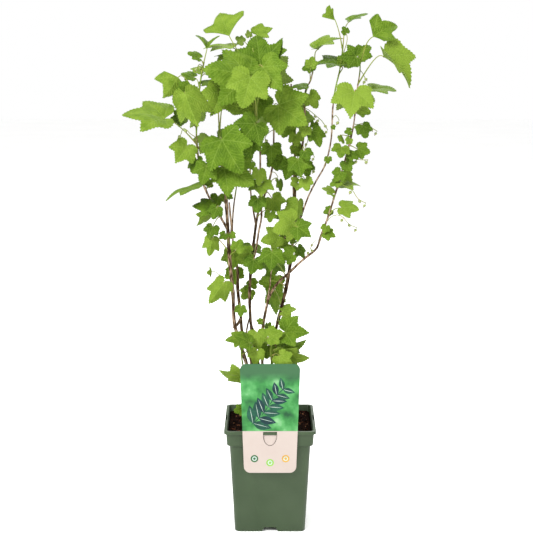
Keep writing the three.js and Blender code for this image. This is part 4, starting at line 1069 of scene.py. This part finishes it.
def add_leaf(heap, line, row):
    """Adds a leaf: its upper and lower faces, the thin wall of its rim, and its stalk to the cane."""
    joint, x, z, y, reach, bearing, lean, roll, fold, spread = row + [0, 180][len(row) - 8:]
    tilt = math.radians(fold or leaf_random.uniform(*BLADE_TILTS))
    along, across, face = blade_axes(bearing, lean, roll)
    foot = seen_at(x, z, y)
    _, teeth, rings, tooth, outline = next(grade for grade in LEAF_GRADES if reach >= grade[0])
    rim = toothed_rim(teeth, tooth, outline, spread)
    count = len(rim)
    tone = leaf_tone(reach)
    fewer = math.sqrt(reach / FULL_REACH)
    phase = leaf_random.uniform(0, 2 * math.pi)
    curl = leaf_random.uniform(*BLADE_CURLS)
    upper, marks = [foot + face * BLADE_THICK / 2], [(0, 0, tone)]
    for ring in range(1, rings + 1):
        share = (ring / rings) ** RING_SPREAD
        for place, bite in rim:
            forward, sideways = place * share + bite * share ** BITE_AT_RIM
            size = share * place.length
            beside, off = vein_place(forward, sideways)
            rise = 4 * BLADE_CAMBER * size * (1 - size) - BLADE_DROOP * sideways ** 2
            rise += BLADE_FOLD * off * (1 - size) - curl * forward ** 3 + abs(sideways) * math.sin(tilt)
            rise += BLADE_WAVE * size ** 2 * math.sin(WAVES * math.atan2(sideways, forward) + phase)
            upper.append(foot + face * BLADE_THICK / 2 + reach * (
                along * forward + across * (sideways * math.cos(tilt)) + face * rise))
            marks.append((beside * fewer, off * fewer, tone))
    lower = [point - face * BLADE_THICK for point in upper]
    faces = [(0, 1 + j, 2 + j) for j in range(count - 1)]
    for ring in range(rings - 1):
        a = 1 + ring * count
        faces += [(a + j, a + count + j, a + count + j + 1, a + j + 1) for j in range(count - 1)]
    add_shape(heap, upper, faces, marks, finish=0)
    add_shape(heap, lower, [tuple(reversed(each)) for each in faces], marks, finish=1)
    last = 1 + (rings - 1) * count
    loop = [0] + [1 + ring * count for ring in range(rings)] + list(range(last + 1, last + count))
    loop += [(ring + 1) * count for ring in range(rings - 2, -1, -1)]
    edge_points = [upper[k] for k in loop] + [lower[k] for k in loop]
    total = len(loop)
    walls = [(k, k + total, (k + 1) % total + total, (k + 1) % total) for k in range(total)]
    add_shape(heap, edge_points, walls, [marks[k] for k in loop] * 2, finish=1, sharp=True)
    start, _ = point_at(line, joint)
    span = (foot - start).length
    behind = foot - along * min(STALK_BEND["behind"] * span, STALK_BEND["most_behind"])
    bow = start.lerp(foot, STALK_BEND["bow"]) + Vector((0, 0, STALK_BEND["bow_up"] * span))
    stalk = []
    for k in range(STALK_STEPS + 1):
        t = k / STALK_STEPS
        stalk.append(foot * (1 - t) ** 3 + behind * 3 * t * (1 - t) ** 2
                     + bow * 3 * t ** 2 * (1 - t) + start * t ** 3)
    hold = min(STALK_HOLD["most"], STALK_HOLD["share"] * reach)
    stalk.insert(0, foot + along * hold - face * STALK_HOLD["under"])
    thick = min(1, STALK_SIZE["least"] + reach / STALK_SIZE["by_reach"])
    radii = [STALK_RADIUS * thick * (STALK_SIZE["tip"] + STALK_SIZE["foot"] * (k / STALK_STEPS) ** 3)
             for k in range(len(stalk))]
    points, faces = rod(stalk, radii, STALK_SIDES)
    add_shape(heap, points, faces, [(k / len(points), 0, tone) for k in range(len(points))], finish=2)


def vein_lines(tree, wander):
    """The mark's parts, a mask of the veins, and the pleats between the side veins."""
    parts = mark_parts(tree)
    slant = worked_out(tree, "MULTIPLY", parts["Y"], VEIN_SLANT)
    run = worked_out(tree, "SUBTRACT", parts["X"], slant)
    drifted = worked_out(tree, "MULTIPLY_ADD", wander, VEIN_WANDER, run)
    many = worked_out(tree, "MULTIPLY", drifted, SIDE_VEINS * 2 * math.pi)
    pleat = worked_out(tree, "COSINE", many)
    side_vein = ranged(tree, pleat, 0.0, 0.32, 0.6, 1.0)
    main_vein = ranged(tree, parts["Y"], 0.6, 0.0, 0.2 * VEIN_WIDTH, VEIN_WIDTH)
    veins = worked_out(tree, "MAXIMUM", side_vein, main_vein)
    return parts, veins, pleat


def leaf_finish(name, dark, middle, light, vein_colour, vein_share, roughness, relief):
    """A leaf's face: green by its tone with cloudy drifts, paler veins, and pleats in relief."""
    material, tree, shader, where = blank_finish(name)
    cloud = noise(tree, where, 100.0, 5.0)
    parts, veins, pleat = vein_lines(tree, cloud)
    cells = add_node(tree, "ShaderNodeTexVoronoi", {"Vector": where, "Scale": 330.0},
                     feature="DISTANCE_TO_EDGE")
    net = ranged(tree, cells.outputs["Distance"], -0.1, 0.06, 0.0, 0.3)
    cloudy = ranged(tree, cloud, -0.17, 0.17, 0.3, 0.7)
    drift = worked_out(tree, "ADD", cloudy, net)
    tone = worked_out(tree, "ADD", parts["Z"], drift, clamp=True)
    green = colour_steps(tree, tone, [(0.05, *dark), (0.5, *middle), (0.95, *light)])
    share = worked_out(tree, "MULTIPLY", veins, vein_share)
    veined = mixed_colour(tree, share, green, (*vein_colour, 1))
    rough = ranged(tree, cloud, roughness - 0.06, roughness + 0.1)
    fill_inputs(tree, shader, {"Base Color": veined, "Roughness": rough, "Specular IOR Level": 0.04})
    sunk = worked_out(tree, "MULTIPLY", veins, relief)
    swell = worked_out(tree, "MULTIPLY_ADD", pleat, -relief, sunk)
    grain_relief(tree, shader, swell, 0.6, 0.0003)
    through = add_node(tree, "ShaderNodeBsdfTranslucent", {"Color": veined})
    lit = add_node(tree, "ShaderNodeMixShader", {
        0: LIGHT_THROUGH, 1: shader.outputs["BSDF"], 2: through.outputs["BSDF"]})
    fill_inputs(tree, tree.nodes["Material Output"], {"Surface": lit.outputs["Shader"]})
    return material


def stalk_finish(name):
    """A leaf stalk: pale yellow green with a pink flush in patches."""
    material, tree, shader, where = blank_finish(name)
    flush = noise(tree, where, 55.0, 3.0)
    colour = colour_steps(tree, flush, [
        (0.35, 0.14, 0.19, 0.025), (0.58, 0.22, 0.245, 0.045), (0.75, 0.29, 0.19, 0.07)])
    fill_inputs(tree, shader, {"Base Color": colour, "Roughness": 0.5, "Specular IOR Level": 0.12})
    ridge = noise(tree, where, 800.0, 2.0)
    grain_relief(tree, shader, ridge, 0.3, 0.0003)
    return material


leaf_face = leaf_finish("leaf_face", (0.034, 0.08, 0.005), (0.094, 0.172, 0.012), (0.19, 0.285, 0.032),
                        (0.26, 0.37, 0.07), 0.6, 0.5, -1.0)
leaf_back = leaf_finish("leaf_back", (0.05, 0.1, 0.012), (0.105, 0.18, 0.024), (0.19, 0.275, 0.05),
                        (0.26, 0.35, 0.09), 0.7, 0.62, 1.0)
leaf_stalk = stalk_finish("leaf_stalk")
for node in nodes:
    foliage = new_heap()
    for name, cane in CANES.items():
        if cane["node"] == node:
            for row in cane.get("leaves", []):
                add_leaf(foliage, lines[name], row)
    heap_piece(node + "_leaves", foliage, [leaf_face, leaf_back, leaf_stalk], node)

# The berries: small hard green currants, not yet ripe, each with the dry brown end of its flower.
# They hang by short stems from a thin arched stalk, which grew from a joint of the cane.
BERRY_RADIUS = 2.2
BERRY_SIZES = (0.85, 1.05)
BERRY_STEM = 2.4
BERRY_ASIDE = 0.6
BERRY_SWINGS = (-0.3, 0.3)
BERRY_HOLD = 0.8
BERRY_SIDES = 12
BERRY_RINGS = 8
BERRY_OPEN = 0.15
STEM_RADII = [0.4, 0.32]
STEM_SIDES = 5
DRIED_FROM = 0.9
DRIED_LENGTHS = (0.9, 1.5)
DRIED_RADII = [0.5, 0.7, 0.15]
SPRAY_RADIUS = 0.5
SPRAY_SIDES = 6
berry_random = random.Random(5)


def berry_shape(middle, radius, hang):
    """A round berry that hangs along a direction: rings of points from its top to its bottom."""
    side = hang.orthogonal().normalized()
    other = hang.cross(side)
    rings = []
    for ring in range(BERRY_RINGS + 1):
        turn = math.pi * (ring + BERRY_OPEN) / (BERRY_RINGS + 2 * BERRY_OPEN)
        level = middle - hang * radius * math.cos(turn)
        ring_turns = [2 * math.pi * k / BERRY_SIDES for k in range(BERRY_SIDES)]
        rings.append([level + (side * math.cos(a) + other * math.sin(a)) * radius * math.sin(turn)
                      for a in ring_turns])
    return skin(rings)


def berry_skin(name):
    """Berry skin: pale green flecked with darker green and a brown blush."""
    material, tree, shader, where = blank_finish(name)
    fleck = noise(tree, where, 420.0, 3.0)
    colour = colour_steps(tree, fleck, [
        (0.3, 0.12, 0.16, 0.035), (0.55, 0.25, 0.3, 0.085), (0.78, 0.3, 0.23, 0.1)])
    fill_inputs(tree, shader, {"Base Color": colour, "Roughness": 0.35})
    grain_relief(tree, shader, fleck, 0.15, 0.0002)
    return material


def dry_flower(name):
    """The dry brown end of a flower, in fine fibres."""
    material, tree, shader, where = blank_finish(name)
    fibre = noise(tree, where, 900.0, 4.0)
    colour = colour_steps(tree, fibre, [(0.35, 0.07, 0.035, 0.015), (0.7, 0.28, 0.15, 0.06)])
    fill_inputs(tree, shader, {"Base Color": colour, "Roughness": 0.9})
    return material


berry_finishes = [berry_skin("berry_skin"), dry_flower("dry_flower"), leaf_stalk]
for node in nodes:
    fruit = new_heap()
    for name, cane in CANES.items():
        if cane["node"] != node:
            continue
        for joint, y, berries, *places in cane.get("sprays", []):
            start, _ = point_at(lines[name], joint)
            stops = [start]
            stops += [seen_at(places[k], places[k + 1], y) for k in range(0, len(places), 2)]
            arch = [place[0] for place in smooth_line([(stop, 0, 0) for stop in stops])]
            points, faces = rod(arch, [SPRAY_RADIUS] * len(arch), SPRAY_SIDES)
            add_shape(fruit, points, faces, [(0, 0, 0)] * len(points), finish=2)
            knee = min(range(len(arch)), key=lambda k: (arch[k] - stops[1]).length)
            for k in range(berries):
                held = arch[round(len(arch) - 1 + (knee - len(arch) + 1) * k / berries)]
                aside = BERRY_ASIDE if k % 2 else -BERRY_ASIDE
                hang = Vector((aside, berry_random.uniform(*BERRY_SWINGS), -1)).normalized()
                size = BERRY_RADIUS * berry_random.uniform(*BERRY_SIZES)
                stem, stem_faces = rod([held, held + hang * BERRY_STEM], STEM_RADII, STEM_SIDES)
                add_shape(fruit, stem, stem_faces, [(0, 0, 0)] * len(stem), finish=2)
                middle = held + hang * (BERRY_STEM + BERRY_HOLD * size)
                points, faces = berry_shape(middle, size, hang)
                add_shape(fruit, points, faces, [(k, 0, 0)] * len(points), finish=0)
                end = middle + hang * size * DRIED_FROM
                ends = [end] + [end + hang * length for length in DRIED_LENGTHS]
                dried, dried_faces = rod(ends, DRIED_RADII, STEM_SIDES)
                add_shape(fruit, dried, dried_faces, [(0, 0, 0)] * len(dried), finish=1)
    if fruit["points"]:
        heap_piece(node + "_berries", fruit, berry_finishes, node)
